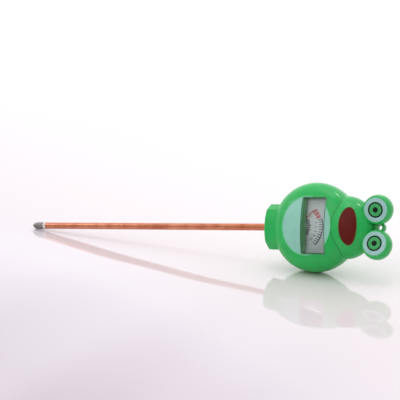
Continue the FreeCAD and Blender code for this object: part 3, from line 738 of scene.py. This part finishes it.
@dataclass
class Housing:
    """The two shells, the inset badges with their beads, and the shell screws.

    Attributes:
        palette: Finishes.
        belly_bead: Radius of the bead round the belly badge, in mm.
        mouth_bead: Radius of the bead round the mouth, in mm.
        frame_bead: Radius of the bead round the window, in mm.
        corner: Corner radius of the window's bead, in mm.
        neck_bead: Radius of the line in the crease, in mm.
        neck_reach: Half width over which the line runs, in mm.
        neck_drop: How far below the mouth the search for the crease starts, in mm.
        recess_arm: Half length of the cross recess, in mm.
        recess_width: Half width of the cross recess, in mm.
        recess_depth: Depth of the cross recess, in mm.
        head_r: Radius of a screw's head, in mm.
        head_h: Height of a screw's head, in mm.
        head_round: Rounding of the head's edge, in mm.
        flat_r: Radius of the flat round the cross recess, in mm.
        shank_r: Radius of the shank between the threads, in mm.
        crest_r: Radius of the thread's crest, in mm.
        pitch: Spacing of the thread, in mm.
        point: Length of the screw's point, in mm.
    """

    palette: Palette
    belly_bead: float = 0.34
    mouth_bead: float = 0.22
    frame_bead: float = 0.24
    corner: float = 0.7
    neck_bead: float = 0.26
    neck_reach: float = 20.0
    neck_drop: float = 9.5
    recess_arm: float = 1.5
    recess_width: float = 0.32
    recess_depth: float = 0.9
    head_r: float = 2.75
    head_h: float = 2.0
    head_round: float = 0.5
    flat_r: float = 2.1
    shank_r: float = 1.1
    crest_r: float = 1.38
    pitch: float = 1.1
    point: float = 1.6
    skin: Skin = field(init=False)

    def __post_init__(self) -> None:
        """Find the skin that the beads lie on."""
        self.skin = Skin(("front_shell", "belly_badge", "mouth_badge"))

    def build(self) -> None:
        """Dress the shells and make the beads and screws."""
        self.palette.dress_nodes(Finish.GREEN_ABS, "front_shell", "rear_shell")
        self.palette.dress_nodes(Finish.MINT_VINYL, "belly_badge")
        self.palette.dress_nodes(Finish.MOUTH_LACQUER, "mouth_badge")
        self._belly_beads()
        self._mouth_bead()
        self._window_bead()
        self._neck_line()
        self._screws()

    def _window(self) -> tuple[float, float, float]:
        """The window opening.

        Returns:
            Half width, lower edge and upper edge, in metres.
        """
        low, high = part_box("window_lens")
        gap = 0.1 * MM
        return high.x + gap, low.z - gap, high.z + gap

    def _bead(self, name: str, radius_mm: float, path: list[Vector], closed: bool, finish: Finish) -> None:
        """A round bead on the skin.

        Args:
            name: The piece's name.
            radius_mm: Radius of the bead.
            path: Points on the skin.
            closed: Whether the bead is a ring.
            finish: Its finish.
        """
        points, faces = Tube(radius_mm * MM).build(path, closed)
        self.palette.dress(mesh_piece(name, points, faces, HOUSING), finish)

    @staticmethod
    def _outline(node: str, steps: int, first: float) -> list[tuple[float, float]]:
        """Places across the part along an elliptical badge's edge.

        Args:
            node: The badge.
            steps: Steps in the whole turn.
            first: Angle of the first and last point.

        Returns:
            X and Z of each point.
        """
        low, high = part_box(node)
        centre_z = (low.z + high.z) / 2
        half_x = (high.x - low.x) / 2
        half_z = (high.z - low.z) / 2
        turns = [math.tau * k / steps + first for k in range(steps + 1)]
        return [(half_x * math.cos(turn), centre_z + half_z * math.sin(turn)) for turn in turns]

    def _belly_beads(self) -> None:
        """Beads on the belly badge's edge, broken where the window cuts it."""
        half_width, bottom, top = self._window()
        margin = (self.frame_bead + 0.15) * MM
        runs: list[list[Vector]] = [[]]
        for x, z in self._outline("belly_badge", 360, -math.pi / 2):
            in_window = abs(x) < half_width + margin and bottom - margin < z < top + margin
            if in_window and runs[-1]:
                runs.append([])
            if not in_window:
                runs[-1].append(self.skin.at(x, z))
        runs = [run for run in runs if len(run) > 2]
        if len(runs) > 2:
            runs = [runs[-1] + runs[0][1:]] + runs[1:-1]
        # the beads' lighter green is a painted highlight along the badge's edge
        for k, run in enumerate(runs):
            self._bead(f"belly_bead_{k + 1}", self.belly_bead, run, False, Finish.GREEN_ABS_RIM)

    def _mouth_bead(self) -> None:
        """A thin bead round the mouth."""
        path = [self.skin.at(x, z) for x, z in self._outline("mouth_badge", 160, 0.0)[:-1]]
        self._bead("mouth_bead", self.mouth_bead, path, True, Finish.MOUTH_EDGE)

    def _window_bead(self) -> None:
        """The moulded frame round the window opening, in grey as painted shade of the dark well behind a clear
        edge.
        """
        half_width, bottom, top = self._window()
        out = 0.6 * self.frame_bead * MM
        corner = self.corner * MM
        outline = []
        centres = [(half_width, top, 0), (-half_width, top, 1), (-half_width, bottom, 2), (half_width, bottom, 3)]
        for x, z, quarter in centres:
            cx = math.copysign(abs(x) + out - corner, x)
            cz = z + (out - corner if quarter < 2 else corner - out)
            for k in range(5):
                turn = (quarter + k / 4) * math.pi / 2
                outline.append((cx + corner * math.cos(turn), cz + corner * math.sin(turn)))
        path = []
        for (x0, z0), (x1, z1) in zip(outline, outline[1:] + outline[:1]):
            parts = max(1, round(math.hypot(x1 - x0, z1 - z0) / (0.5 * MM)))
            path += [self.skin.at(x0 + (x1 - x0) * s / parts, z0 + (z1 - z0) * s / parts) for s in range(parts)]
        # the frame's grey is painted shade of the dark well, not the plastic's own colour
        self._bead("window_bead", self.frame_bead, path, True, Finish.LENS_EDGE)

    def _neck_line(self) -> None:
        """A fine moulded line along the crease between the drum and the head, in a darker green as painted shade of
        the crease.
        """
        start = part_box("mouth_badge")[0].z - self.neck_drop * MM
        step = 0.1 * MM
        reach = 8
        path = []
        for i in range(81):
            x = self.neck_reach * MM * (i / 40 - 1)
            depths = [self.skin.at(x, start + k * step).y for k in range(round(1.6 * self.neck_drop * MM / step))]
            bends = [depths[k - reach] + depths[k + reach] - 2 * depths[k]
                     for k in range(reach, len(depths) - reach)]
            sharpest = min(range(len(bends)), key=bends.__getitem__)
            path.append(self.skin.at(x, start + (sharpest + reach) * step))
        path = [path[0]] + [(a + b + c) / 3 for a, b, c in zip(path, path[1:], path[2:])] + [path[-1]]
        # the line's darker green is painted shade of the crease
        self._bead("neck_line", self.neck_bead, path, False, Finish.GREEN_ABS_SEAM)

    def _screws(self) -> None:
        """Pan-head screws with a cross recess, in place of the plain ones."""
        node = frame["nodes"]["shell_screws"]
        centres = self._screw_axes(node)
        low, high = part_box("shell_screws")
        points: list[Vector] = []
        faces: list[tuple[int, ...]] = []
        for x, z in centres:
            more, ring = self._screw(Vector((x, high.y, z)), high.y - low.y)
            start = len(points)
            points += more
            faces += [tuple(start + i for i in face) for face in ring]
        screws = mesh_piece("cross_screws", points, faces, HOUSING)
        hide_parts("shell_screws")
        self.palette.dress(screws, Finish.ZINC_PLATED_STEEL)

    @staticmethod
    def _screw_axes(node: bpy.types.Object) -> list[tuple[float, float]]:
        """The screws' places across the part, from the middles of the CAD solids.

        Args:
            node: The CAD node that holds the screws.

        Returns:
            X and Z of each axis.
        """
        work = bmesh.new()
        work.from_mesh(node.data)
        bmesh.ops.remove_doubles(work, verts=work.verts, dist=1e-6)
        seen: set = set()
        axes = []
        for vert in work.verts:
            if vert in seen:
                continue
            group, stack = [], [vert]
            seen.add(vert)
            while stack:
                here = stack.pop()
                group.append(here.co)
                for edge in here.link_edges:
                    other = edge.other_vert(here)
                    if other not in seen:
                        seen.add(other)
                        stack.append(other)
            xs = [co.x for co in group]
            zs = [co.z for co in group]
            axes.append(((min(xs) + max(xs)) / 2, (min(zs) + max(zs)) / 2))
        work.free()
        return sorted(axes)

    def _screw(self, top: Vector, length: float) -> tuple[list[Vector], list[tuple[int, ...]]]:
        """One screw: head outwards along +Y at top, shank and thread towards -Y.

        Args:
            top: Middle of the head's outer face.
            length: Whole length in metres.

        Returns:
            Vertices and faces.
        """
        head_r, head_h, crown = self.head_r * MM, self.head_h * MM, self.head_round * MM
        shank_r, crest_r, pitch = self.shank_r * MM, self.crest_r * MM, self.pitch * MM
        profile = [(0.0, -length), (0.5 * shank_r, -length), (shank_r, -length + self.point * MM)]
        thread = -length + self.point * MM + 0.2 * pitch
        while thread < -head_h - 2 * pitch:
            profile += [(shank_r, thread), (crest_r, thread + 0.4 * pitch), (shank_r, thread + 0.8 * pitch)]
            thread += pitch
        profile += [(shank_r, -head_h), (head_r, -head_h), (head_r, -crown)]
        for k in range(1, 5):
            turn = math.pi / 2 * k / 5
            profile.append((head_r - crown * (1 - math.cos(turn)), -crown + crown * math.sin(turn)))
        profile.append((self.flat_r * MM, 0.0))
        points, faces = lathe(profile, top, Vector((0, 1, 0)), 36)
        faces.pop()
        rim = list(range(len(points) - 36, len(points)))
        cross = self._cross_outline()
        mouth = [len(points) + k for k in range(len(cross))]
        points += [top + Vector((x, 0, z)) for x, z in cross]
        floor = [len(points) + k for k in range(len(cross))]
        points += [top + Vector((0.8 * x, -self.recess_depth * MM, 0.8 * z)) for x, z in cross]
        flat = tessellate_polygon([[points[i] for i in rim], [points[i] for i in mouth]])
        numbers = rim + mouth
        faces += [tuple(numbers[i] for i in triangle) for triangle in flat]
        faces += plate_faces([mouth, floor])
        faces.append(tuple(floor))
        return points, faces

    def _cross_outline(self) -> list[tuple[float, float]]:
        """Outline of the cross recess.

        Returns:
            X and Z of each corner, from the screw's axis.
        """
        arm = self.recess_arm * MM
        half = self.recess_width * MM
        outline = []
        for quarter in range(4):
            turn = quarter * math.pi / 2
            for x, z in ((arm, -half), (arm, half), (half, half)):
                outline.append((x * math.cos(turn) - z * math.sin(turn), x * math.sin(turn) + z * math.cos(turn)))
        return outline


# ---------------------------------------------------------------------------
# Window and dial
# ---------------------------------------------------------------------------

@dataclass
class Dial:
    """The clear lens and the printed dial behind it.

    Lengths are in mm and angles in degrees from straight up, growing to the reader's right.

    Attributes:
        palette: Finishes.
        ink: Thickness of the print.
        scale_r: Radius of the comb scale's baseline.
        tooth: Length of the comb's teeth.
        tooth_angle: Width of a tooth as an angle.
        teeth: Number of teeth.
        line_width: Width of the comb's baseline.
        hub_r: Inner radius of the marks near the pivot.
        hub_marks: Number of those marks.
        hub_first: Angle where they start.
        hub_step: Angle between them.
        dry_end: Angle where the dry zone ends and the comb starts.
        dry_width: Width of the dry zone's ring.
        dry_blocks: Number of blocks in the dry zone.
        number_r: Radius of the numbers' middles.
        number_size: Height of the numbers.
        sweep: Angle from the middle of the scale to each of its ends.
    """

    palette: Palette
    ink: float = 0.03
    scale_r: float = 17.3
    tooth: float = 2.3
    tooth_angle: float = 2.0
    teeth: int = 11
    line_width: float = 0.7
    hub_r: float = 6.0
    hub_marks: int = 8
    hub_first: float = -42.0
    hub_step: float = 11.0
    dry_end: float = -20.0
    dry_width: float = 3.4
    dry_blocks: int = 3
    number_r: float = 12.8
    number_size: float = 2.2
    sweep: float = 45.0

    def build(self) -> None:
        """Dress the lens and print the dial."""
        self.palette.dress_nodes(Finish.CLEAR_LENS, "window_lens")
        self.palette.dress_nodes(Finish.DIAL_CARD, "dial_plate")
        joint = frame["joints"][0]
        self.pivot = Vector(joint["pos_m"])
        self.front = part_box("dial_plate")[0].y
        block = (self.dry_end + self.sweep) / self.dry_blocks
        starts = [-self.sweep + block * k for k in range(self.dry_blocks)]
        self._print_sector("dry_zone", Finish.RED_INK,
                           [(a, a + 0.82 * block, self.scale_r - self.dry_width, self.scale_r) for a in starts])
        comb = [(self.dry_end + 2, self.sweep, self.scale_r, self.scale_r + self.line_width)]
        half = self.tooth_angle / 2
        for k in range(self.teeth):
            middle = self.dry_end + 3 + k * (self.sweep - self.dry_end - 4) / (self.teeth - 1)
            comb.append((middle - half, middle + half, self.scale_r - self.tooth, self.scale_r))
        self._print_sector("comb_scale", Finish.BLUE_INK, comb)
        hub = []
        for k in range(self.hub_marks):
            first = self.hub_first + self.hub_step * k
            hub.append((first, first + 8, self.hub_r, self.hub_r + 2.3 + 0.5 * (k % 2)))
        self._print_sector("hub_scale", Finish.GREY_INK, hub)
        self._numbers()

    def _on_dial(self, radius_mm: float, angle: float, lift_mm: float) -> Vector:
        """A point over the dial card from polar places about the pivot.

        Args:
            radius_mm: Distance from the pivot.
            angle: Angle from straight up, growing to the reader's right.
            lift_mm: Height over the card.

        Returns:
            The point in metres.
        """
        turn = math.radians(angle)
        return Vector((self.pivot.x + radius_mm * MM * math.sin(turn), self.front - lift_mm * MM,
                       self.pivot.z + radius_mm * MM * math.cos(turn)))

    def _print_sector(self, name: str, finish: Finish, sectors: list[tuple[float, float, float, float]]) -> None:
        """Print ring sectors as one thin raised piece.

        Args:
            name: The piece's name.
            finish: Its ink.
            sectors: First angle, last angle, inner and outer radius of each sector.
        """
        points: list[Vector] = []
        faces: list[tuple[int, ...]] = []
        for first, last, inner, outer in sectors:
            steps = max(2, round(abs(last - first) / 1.5))
            angles = [first + (last - first) * k / steps for k in range(steps + 1)]
            outline = [(inner, a) for a in angles] + [(outer, a) for a in reversed(angles)]
            start = len(points)
            count = len(outline)
            for lift in (-0.01, self.ink):
                points += [self._on_dial(r, a, lift) for r, a in outline]
            back = list(range(start, start + count))
            top = list(range(start + count, start + 2 * count))
            faces += plate_faces([back, top])
            for ring in (back, top):
                for k in range(steps):
                    faces.append((ring[k], ring[k + 1], ring[count - 2 - k], ring[count - 1 - k]))
        piece = mesh_piece(name, points, faces, HOUSING)
        self.palette.dress(piece, finish)

    def _numbers(self) -> None:
        """Plain numbers 2 to 10 along the scale."""
        for k, number in enumerate(range(2, 11, 2)):
            angle = self.dry_end + 8 + k * (self.sweep - self.dry_end - 12) / 4
            curve = bpy.data.curves.new(f"number_{number}", "FONT")
            curve.body = str(number)
            curve.size = self.number_size * MM
            curve.extrude = self.ink * MM / 2
            curve.align_x = "CENTER"
            curve.align_y = "CENTER"
            text = bpy.data.objects.new("text", curve)
            bpy.context.scene.collection.objects.link(text)
            place = self._on_dial(self.number_r, angle, self.ink / 2)
            text.matrix_world = (Matrix.Translation(place) @ Matrix.Rotation(math.radians(angle), 4, "Y")
                                 @ Matrix.Rotation(math.pi / 2, 4, "X"))
            bpy.context.view_layer.update()
            mesh = bpy.data.meshes.new_from_object(text.evaluated_get(bpy.context.evaluated_depsgraph_get()))
            mesh.transform(text.matrix_world)
            points = [v.co.copy() for v in mesh.vertices]
            faces = [tuple(p.vertices) for p in mesh.polygons]
            bpy.data.objects.remove(text)
            piece = mesh_piece(f"number_{number}", points, faces, HOUSING)
            self.palette.dress(piece, Finish.BLUE_INK)


# ---------------------------------------------------------------------------
# Eyes
# ---------------------------------------------------------------------------

@dataclass
class Eyes:
    """The two eye balls with their printed discs. Lengths are in mm.

    Attributes:
        palette: Finishes.
        iris_r: Radius of the green iris.
        ring_r: Outer radius of the black ring.
        pupil_r: Radius of the pupil.
        crown: How far the disc's face bulges at its middle.
        edge: Radius of the disc's rounded edge.
        disc_t: Thickness of the disc.
        disc_gap: Gap between the disc and its recess.
        ink_sides: Points round a ring of ink.
    """

    palette: Palette
    iris_r: float = 4.2
    ring_r: float = 5.25
    pupil_r: float = 1.85
    crown: float = 0.35
    edge: float = 0.3
    disc_t: float = 0.8
    disc_gap: float = 0.03
    ink_sides: int = 72

    def build(self) -> None:
        """Dress the balls and print the discs."""
        self.palette.dress_nodes(Finish.GREEN_ABS, "eye_ball_left", "eye_ball_right")
        for side in ("left", "right"):
            self._disc(side)

    def _face(self, node: str) -> tuple[Vector, Vector, float]:
        """Where a disc faces.

        Args:
            node: The disc's CAD node.

        Returns:
            The middle of its front face, its outward direction and its radius.
        """
        mesh = frame["nodes"][node].data
        points = [v.co.copy() for v in mesh.vertices]
        centre = sum(points, Vector()) / len(points)
        widest = max(mesh.polygons, key=lambda p: p.area * max(0.0, -p.normal.y))
        outward = widest.normal.copy()
        reach = max((p - centre).dot(outward) for p in points)
        radius = max(((p - centre) - outward * (p - centre).dot(outward)).length for p in points)
        low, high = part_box(node)
        middle = (low + high) / 2
        middle += outward * (reach - (middle - centre).dot(outward))
        return middle, outward, radius

    def _dome(self, radius: float, full: float) -> float:
        """Height of the crowned face at a radius, over its edge."""
        return self.crown * MM * (1 - (radius / full) ** 2)

    def _disc(self, side: str) -> None:
        """Make a crowned disc and its rings of ink.

        Args:
            side: "left" or "right".
        """
        node = f"eye_disc_{side}"
        middle, outward, full = self._face(node)
        thick = self.disc_t * MM
        edge = self.edge * MM
        rim = full - self.disc_gap * MM
        profile = [(0.0, -thick), (rim, -thick), (rim, -edge)]
        for k in range(1, 5):
            turn = math.pi / 2 * k / 4
            profile.append((rim - edge * (1 - math.cos(turn)), -edge + edge * math.sin(turn)))
        flat = rim - edge
        profile += [(flat * (1 - k / 8), self._dome(flat * (1 - k / 8), flat)) for k in range(1, 9)]
        points, faces = lathe(profile, middle, outward, 96)
        disc = mesh_piece(f"crowned_disc_{side}", points, faces, HOUSING)
        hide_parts(node)
        self.palette.dress(disc, Finish.PEARL_PS)
        inks = (("iris", 0.0, self.iris_r, 0.03, Finish.IRIS_INK),
                ("eye_ring", self.iris_r - 0.02, self.ring_r, 0.04, Finish.BLACK_INK),
                ("pupil", 0.0, self.pupil_r, 0.06, Finish.BLACK_INK))
        for name, inner, outer, lift, finish in inks:
            self._ink(f"{name}_{side}", middle, outward, (inner * MM, outer * MM, flat), lift * MM, finish)

    def _ink(self, name: str, middle: Vector, outward: Vector, radii: tuple[float, float, float], lift: float,
             finish: Finish) -> None:
        """A thin layer of ink that follows the crowned face.

        Args:
            name: The piece's name.
            middle: Middle of the disc's face.
            outward: Direction the disc faces.
            radii: Inner and outer radius of the ink, and the crowned face's radius.
            lift: Height of the ink over the face.
            finish: The ink.
        """
        inner, outer, flat = radii
        steps = 6
        rings = [outer + (inner - outer) * k / steps for k in range(steps + 1)]
        under = 0.02 * MM
        profile = [(r, self._dome(r, flat) - under) for r in reversed(rings)]
        profile += [(r, self._dome(r, flat) + lift) for r in rings]
        count = self.ink_sides
        points, faces = lathe(profile, middle, outward, count)
        if inner > 0:
            faces = faces[:-2]
            last = len(points) - count
            faces += plate_faces([list(range(last, last + count)), list(range(count))])
        piece = mesh_piece(name, points, faces, HOUSING)
        self.palette.dress(piece, finish)


# ---------------------------------------------------------------------------
# Movement, probe and inner pieces
# ---------------------------------------------------------------------------

@dataclass
class Works:
    """The meter movement, the pieces inside the collar and the probe, dressed as they are made.

    Attributes:
        palette: Finishes.
        groups: The nodes of each finish.
    """

    palette: Palette
    groups: tuple[tuple[Finish, tuple[str, ...]], ...] = (
        (Finish.BLACK_ABS, ("movement_cup", "coil_former")),
        (Finish.ZINC_PLATED_STEEL, ("yoke_ring", "bearing_screws", "bridge_screws", "dial_screws",
                                    "movement_screws", "pivot_front", "pivot_rear")),
        (Finish.ALNICO, ("core_magnet",)),
        (Finish.BRASS, ("core_clamp", "front_bridge", "rear_bridge", "balance_weights", "tube_terminal",
                        "rod_terminal", "hairspring_front", "hairspring_rear")),
        (Finish.COPPER_WIRE, ("coil_winding",)),
        (Finish.POINTER_RED, ("pointer",)),
        (Finish.WHITE_NYLON, ("probe_bush", "insulating_sleeve", "insulator_ring")),
        (Finish.RED_PVC, ("lead_to_front_bridge",)),
        (Finish.BLACK_PVC, ("lead_to_rear_bridge",)),
        (Finish.COPPER_TUBE, ("probe_tube",)),
        (Finish.ZINC_TIP, ("probe_tip", "core_rod")),
    )

    def build(self) -> None:
        """Dress each group of pieces."""
        for finish, nodes in self.groups:
            self.palette.dress_nodes(finish, *nodes)


# ---------------------------------------------------------------------------
# Studio
# ---------------------------------------------------------------------------

@dataclass
class Studio:
    """Pale floor, soft light and the camera. Lengths are in metres.

    Attributes:
        eye: Camera place.
        ahead: Direction the camera looks.
        up: The camera's up direction.
        lens: Focal length in mm on a 36 mm sensor.
        down: Direction from the object to the floor it lies on.
        wall_tilt: How far overhead the bright wall reaches.
        back_level: Brightness of the white wall behind the object.
        front_level: Brightness of the dim room in front of it.
        overhead_power: Power of the panel overhead, in watts.
        fill_power: Power of the panel in front, in watts.
        glints: Direction of each small lamp and its power in watts.
        floor_half: Half the floor's width.
        floor_roughness: Roughness of the sheet.
        floor_ior: Index of refraction of the sheet's varnish.
        bend_places: Places along the probe where the sheet's bend is given.
        bends: Bend at each of those places in 1/m, above zero for a sag.
        sag_reach: Distance towards the viewer over which a sag grows.
        bulge_reach: The same for a bulge.
        fade_slant: How much the painted shade also darkens the sheet towards the probe's tip.
        floor_shades: The sheet's colours from far to near, greyer nearer as painted shade.
    """

    eye: tuple[float, float, float] = (0.06037, -0.73197, 0.36536)
    ahead: tuple[float, float, float] = (-0.09387, 0.86143, -0.49913)
    up: tuple[float, float, float] = (-0.99445, -0.10508, 0.00566)
    lens: float = 105.23
    down: tuple[float, float, float] = (0.946, 0.303, -0.115)
    wall_tilt: float = 0.55
    back_level: float = 1.24
    front_level: float = 0.4
    overhead_power: float = 0.9
    fill_power: float = 2.0
    glints: tuple[tuple[float, float, float, float], ...] = ((-0.47, -0.57, -0.7, 0.22),
                                                             (-0.92, 0.1, 0.37, 0.5))
    floor_half: float = 9.0
    floor_roughness: float = 0.05
    floor_ior: float = 1.65
    bend_places: tuple[float, ...] = (-0.28, -0.20, -0.13, -0.02, 0.05, 0.12, 0.3)
    bends: tuple[float, ...] = (0.0, 1.6, 1.1, 0.1, -0.75, -1.3, 0.0)
    sag_reach: float = 0.1
    bulge_reach: float = 0.25
    fade_slant: float = 0.45
    floor_shades: list[tuple[float, str]] = field(default_factory=lambda: [
        (0.1, "f6f6f6"), (0.36, "f4f0ee"), (0.63, "ece4e5"), (0.74, "e7e0e5"), (0.8, "dfd6de"), (0.95, "d1c8d1")])

    def build(self) -> None:
        """Set up everything around the object."""
        scene = bpy.context.scene
        scene.view_settings.view_transform = "Standard"
        self._camera(scene)
        self._floor()
        self._panels()
        self._world(scene)

    def _camera(self, scene: bpy.types.Scene) -> None:
        """The camera, rolled so that the probe lies level.

        Args:
            scene: The scene it is set in.
        """
        data = bpy.data.cameras.new("camera")
        data.lens = self.lens
        data.sensor_width = 36.0
        data.clip_start = 0.01
        camera = bpy.data.objects.new("camera", data)
        scene.collection.objects.link(camera)
        back = -Vector(self.ahead).normalized()
        right = Vector(self.up).cross(back).normalized()
        up = back.cross(right)
        turn = Matrix((right, up, back)).transposed().to_4x4()
        camera.matrix_world = Matrix.Translation(self.eye) @ turn
        scene.camera = camera

    def _floor(self) -> None:
        """A wide glossy white sheet that the object just touches, seen only from above.

        The sheet is flat behind the object. Towards the viewer it sags under the probe and bulges under
        the head, so the object's mirror image in it is bent.
        """
        down = Vector(self.down).normalized()
        depth = max(v.co.dot(down) for node in frame["nodes"].values() for v in node.data.vertices)
        along = Vector((0, 0, 1)) - down * down.z
        along.normalize()
        near = down.cross(along)
        middle = down * (depth + 0.05 * MM)
        rows = [-self.floor_half, -2.0, -0.6, -0.2, -0.05] + [0.01 * k for k in range(41)] + [0.6, 1.2, 3.0]
        columns = [-self.floor_half, -2.0, -0.9] + [0.02 * k - 0.6 for k in range(48)] + [0.6, 2.0, self.floor_half]
        points = []
        for x in columns:
            height = 0.0
            for k, y in enumerate(rows):
                if k and y > 0:
                    height += self._slope(x, (y + rows[k - 1]) / 2) * (y - max(rows[k - 1], 0.0))
                points.append(middle + along * x + near * y - down * height)
        count = len(rows)
        faces = []
        for i in range(len(columns) - 1):
            for k in range(count - 1):
                corner = i * count + k
                faces.append((corner, corner + 1, corner + count + 1, corner + count))
        mesh = bpy.data.meshes.new("floor")
        mesh.from_pydata([tuple(p) for p in points], [], faces)
        if mesh.polygons[0].normal.dot(down) > 0:
            mesh.flip_normals()
        mesh.shade_smooth()
        floor = bpy.data.objects.new("floor", mesh)
        bpy.context.scene.collection.objects.link(floor)
        mesh.materials.append(self._floor_material(near - self.fade_slant * along))

    def _slope(self, along: float, near: float) -> float:
        """How steeply the sheet rises towards the viewer.

        Args:
            along: Place along the probe, from its tip towards the head.
            near: Distance towards the viewer from the line of contact.

        Returns:
            The slope, below zero where the sheet falls away.
        """
        if near <= 0:
            return 0.0
        ends = self.bend_places
        if along <= ends[0] or along >= ends[-1]:
            return 0.0
        k = max(i for i in range(len(ends) - 1) if ends[i] <= along)
        share = (along - ends[k]) / (ends[k + 1] - ends[k])
        share = share * share * (3 - 2 * share)
        bend = self.bends[k] + (self.bends[k + 1] - self.bends[k]) * share
        reach = self.sag_reach if bend > 0 else self.bulge_reach
        rest = max(0.0, 1.0 - max(0.0, near - reach) / 0.2)
        return bend * min(near, reach) * rest

    def _floor_material(self, painted_shade_direction: Vector) -> bpy.types.Material:
        """White acrylic sheet with painted shade that greys it towards the viewer, clear from below so that it
        hides nothing.

        Args:
            painted_shade_direction: Direction in which the painted shade grows darker.

        Returns:
            The material.
        """
        material, tree, shader = new_material("floor_acrylic")
        coords = add_node(tree, "ShaderNodeTexCoord")
        place = add_node(tree, "ShaderNodeVectorMath", {"operation": "DOT_PRODUCT", 1: tuple(painted_shade_direction)},
                         {0: coords.outputs["Object"]})
        share = add_node(tree, "ShaderNodeMapRange", {"From Min": -0.4, "From Max": 0.3},
                         {"Value": place.outputs["Value"]})
        # painted shade: the ramp greys the sheet towards the viewer and the probe's tip
        shade = ramp(tree, share.outputs["Result"], self.floor_shades)
        tree.links.new(shade, shader.inputs["Base Color"])
        shader.inputs["Roughness"].default_value = self.floor_roughness
        shader.inputs["IOR"].default_value = self.floor_ior
        clear = add_node(tree, "ShaderNodeBsdfTransparent")
        side = add_node(tree, "ShaderNodeNewGeometry")
        mix_surface(tree, side.outputs["Backfacing"], shader.outputs[0], clear.outputs[0])
        return material

    def _panel(self, name: str, place: Vector, size: float, power: float) -> bpy.types.Object:
        """A soft square panel that faces the housing.

        Args:
            name: The light's name.
            place: The panel's middle.
            size: Its side.
            power: Its power in watts.

        Returns:
            The light.
        """
        data = bpy.data.lights.new(name, "AREA")
        data.shape = "SQUARE"
        data.size = size
        data.energy = power
        light = bpy.data.objects.new(name, data)
        bpy.context.scene.collection.objects.link(light)
        light.location = place
        light.rotation_euler = (Vector((0, 0, 0.03)) - place).to_track_quat("-Z", "Y").to_euler()
        light.visible_camera = False
        return light

    def _panels(self) -> None:
        """A softbox overhead, one in front that reaches the dial and small lamps that only give glints."""
        overhead = -Vector(self.down).normalized()
        front = Vector((0, -1, 0))
        self._panel("overhead", 1.0 * overhead, 0.5, self.overhead_power)
        self._panel("front", (front + 0.4 * overhead).normalized() * 0.9, 0.8, self.fill_power)
        for k, (x, y, z, power) in enumerate(self.glints):
            glint = self._panel(f"glint_{k + 1}", 0.9 * Vector((x, y, z)).normalized(), 0.1, power)
            glint.visible_diffuse = False

    def _world(self, scene: bpy.types.Scene) -> None:
        """A bright wall behind the object and a dimmer room in front of it.

        Args:
            scene: The scene it is set in.
        """
        world = bpy.data.worlds.new("studio")
        world.use_nodes = True
        tree = world.node_tree
        tree.nodes.clear()
        bright = (Vector(self.ahead).normalized() - self.wall_tilt * Vector(self.down).normalized()).normalized()
        coords = add_node(tree, "ShaderNodeTexCoord")
        dot = add_node(tree, "ShaderNodeVectorMath", {"operation": "DOT_PRODUCT", 1: tuple(bright)},
                       {0: coords.outputs["Generated"]})
        level = add_node(tree, "ShaderNodeMapRange", {"interpolation_type": "SMOOTHSTEP", "From Min": -0.6,
                                                     "From Max": 0.75, "To Min": self.front_level,
                                                     "To Max": self.back_level}, {"Value": dot.outputs["Value"]})
        light = add_node(tree, "ShaderNodeBackground", {"Color": linear("fdfbff")},
                         {"Strength": level.outputs["Result"]})
        seen = add_node(tree, "ShaderNodeBackground", {"Color": linear("fdfbfc"), "Strength": 1.0})
        ray = add_node(tree, "ShaderNodeLightPath")
        mix = add_node(tree, "ShaderNodeMixShader",
                       links={0: ray.outputs["Is Camera Ray"], 1: light.outputs[0], 2: seen.outputs[0]})
        add_node(tree, "ShaderNodeOutputWorld", links={"Surface": mix.outputs[0]})
        scene.world = world


# ---------------------------------------------------------------------------


def main() -> None:
    """Build every part of the look in order."""
    logging.basicConfig(level=logging.INFO, format="%(name)s: %(message)s")
    palette = Palette()
    Studio().build()
    Housing(palette).build()
    Dial(palette).build()
    Eyes(palette).build()
    Works(palette).build()


if __name__ == "__main__":
    main()
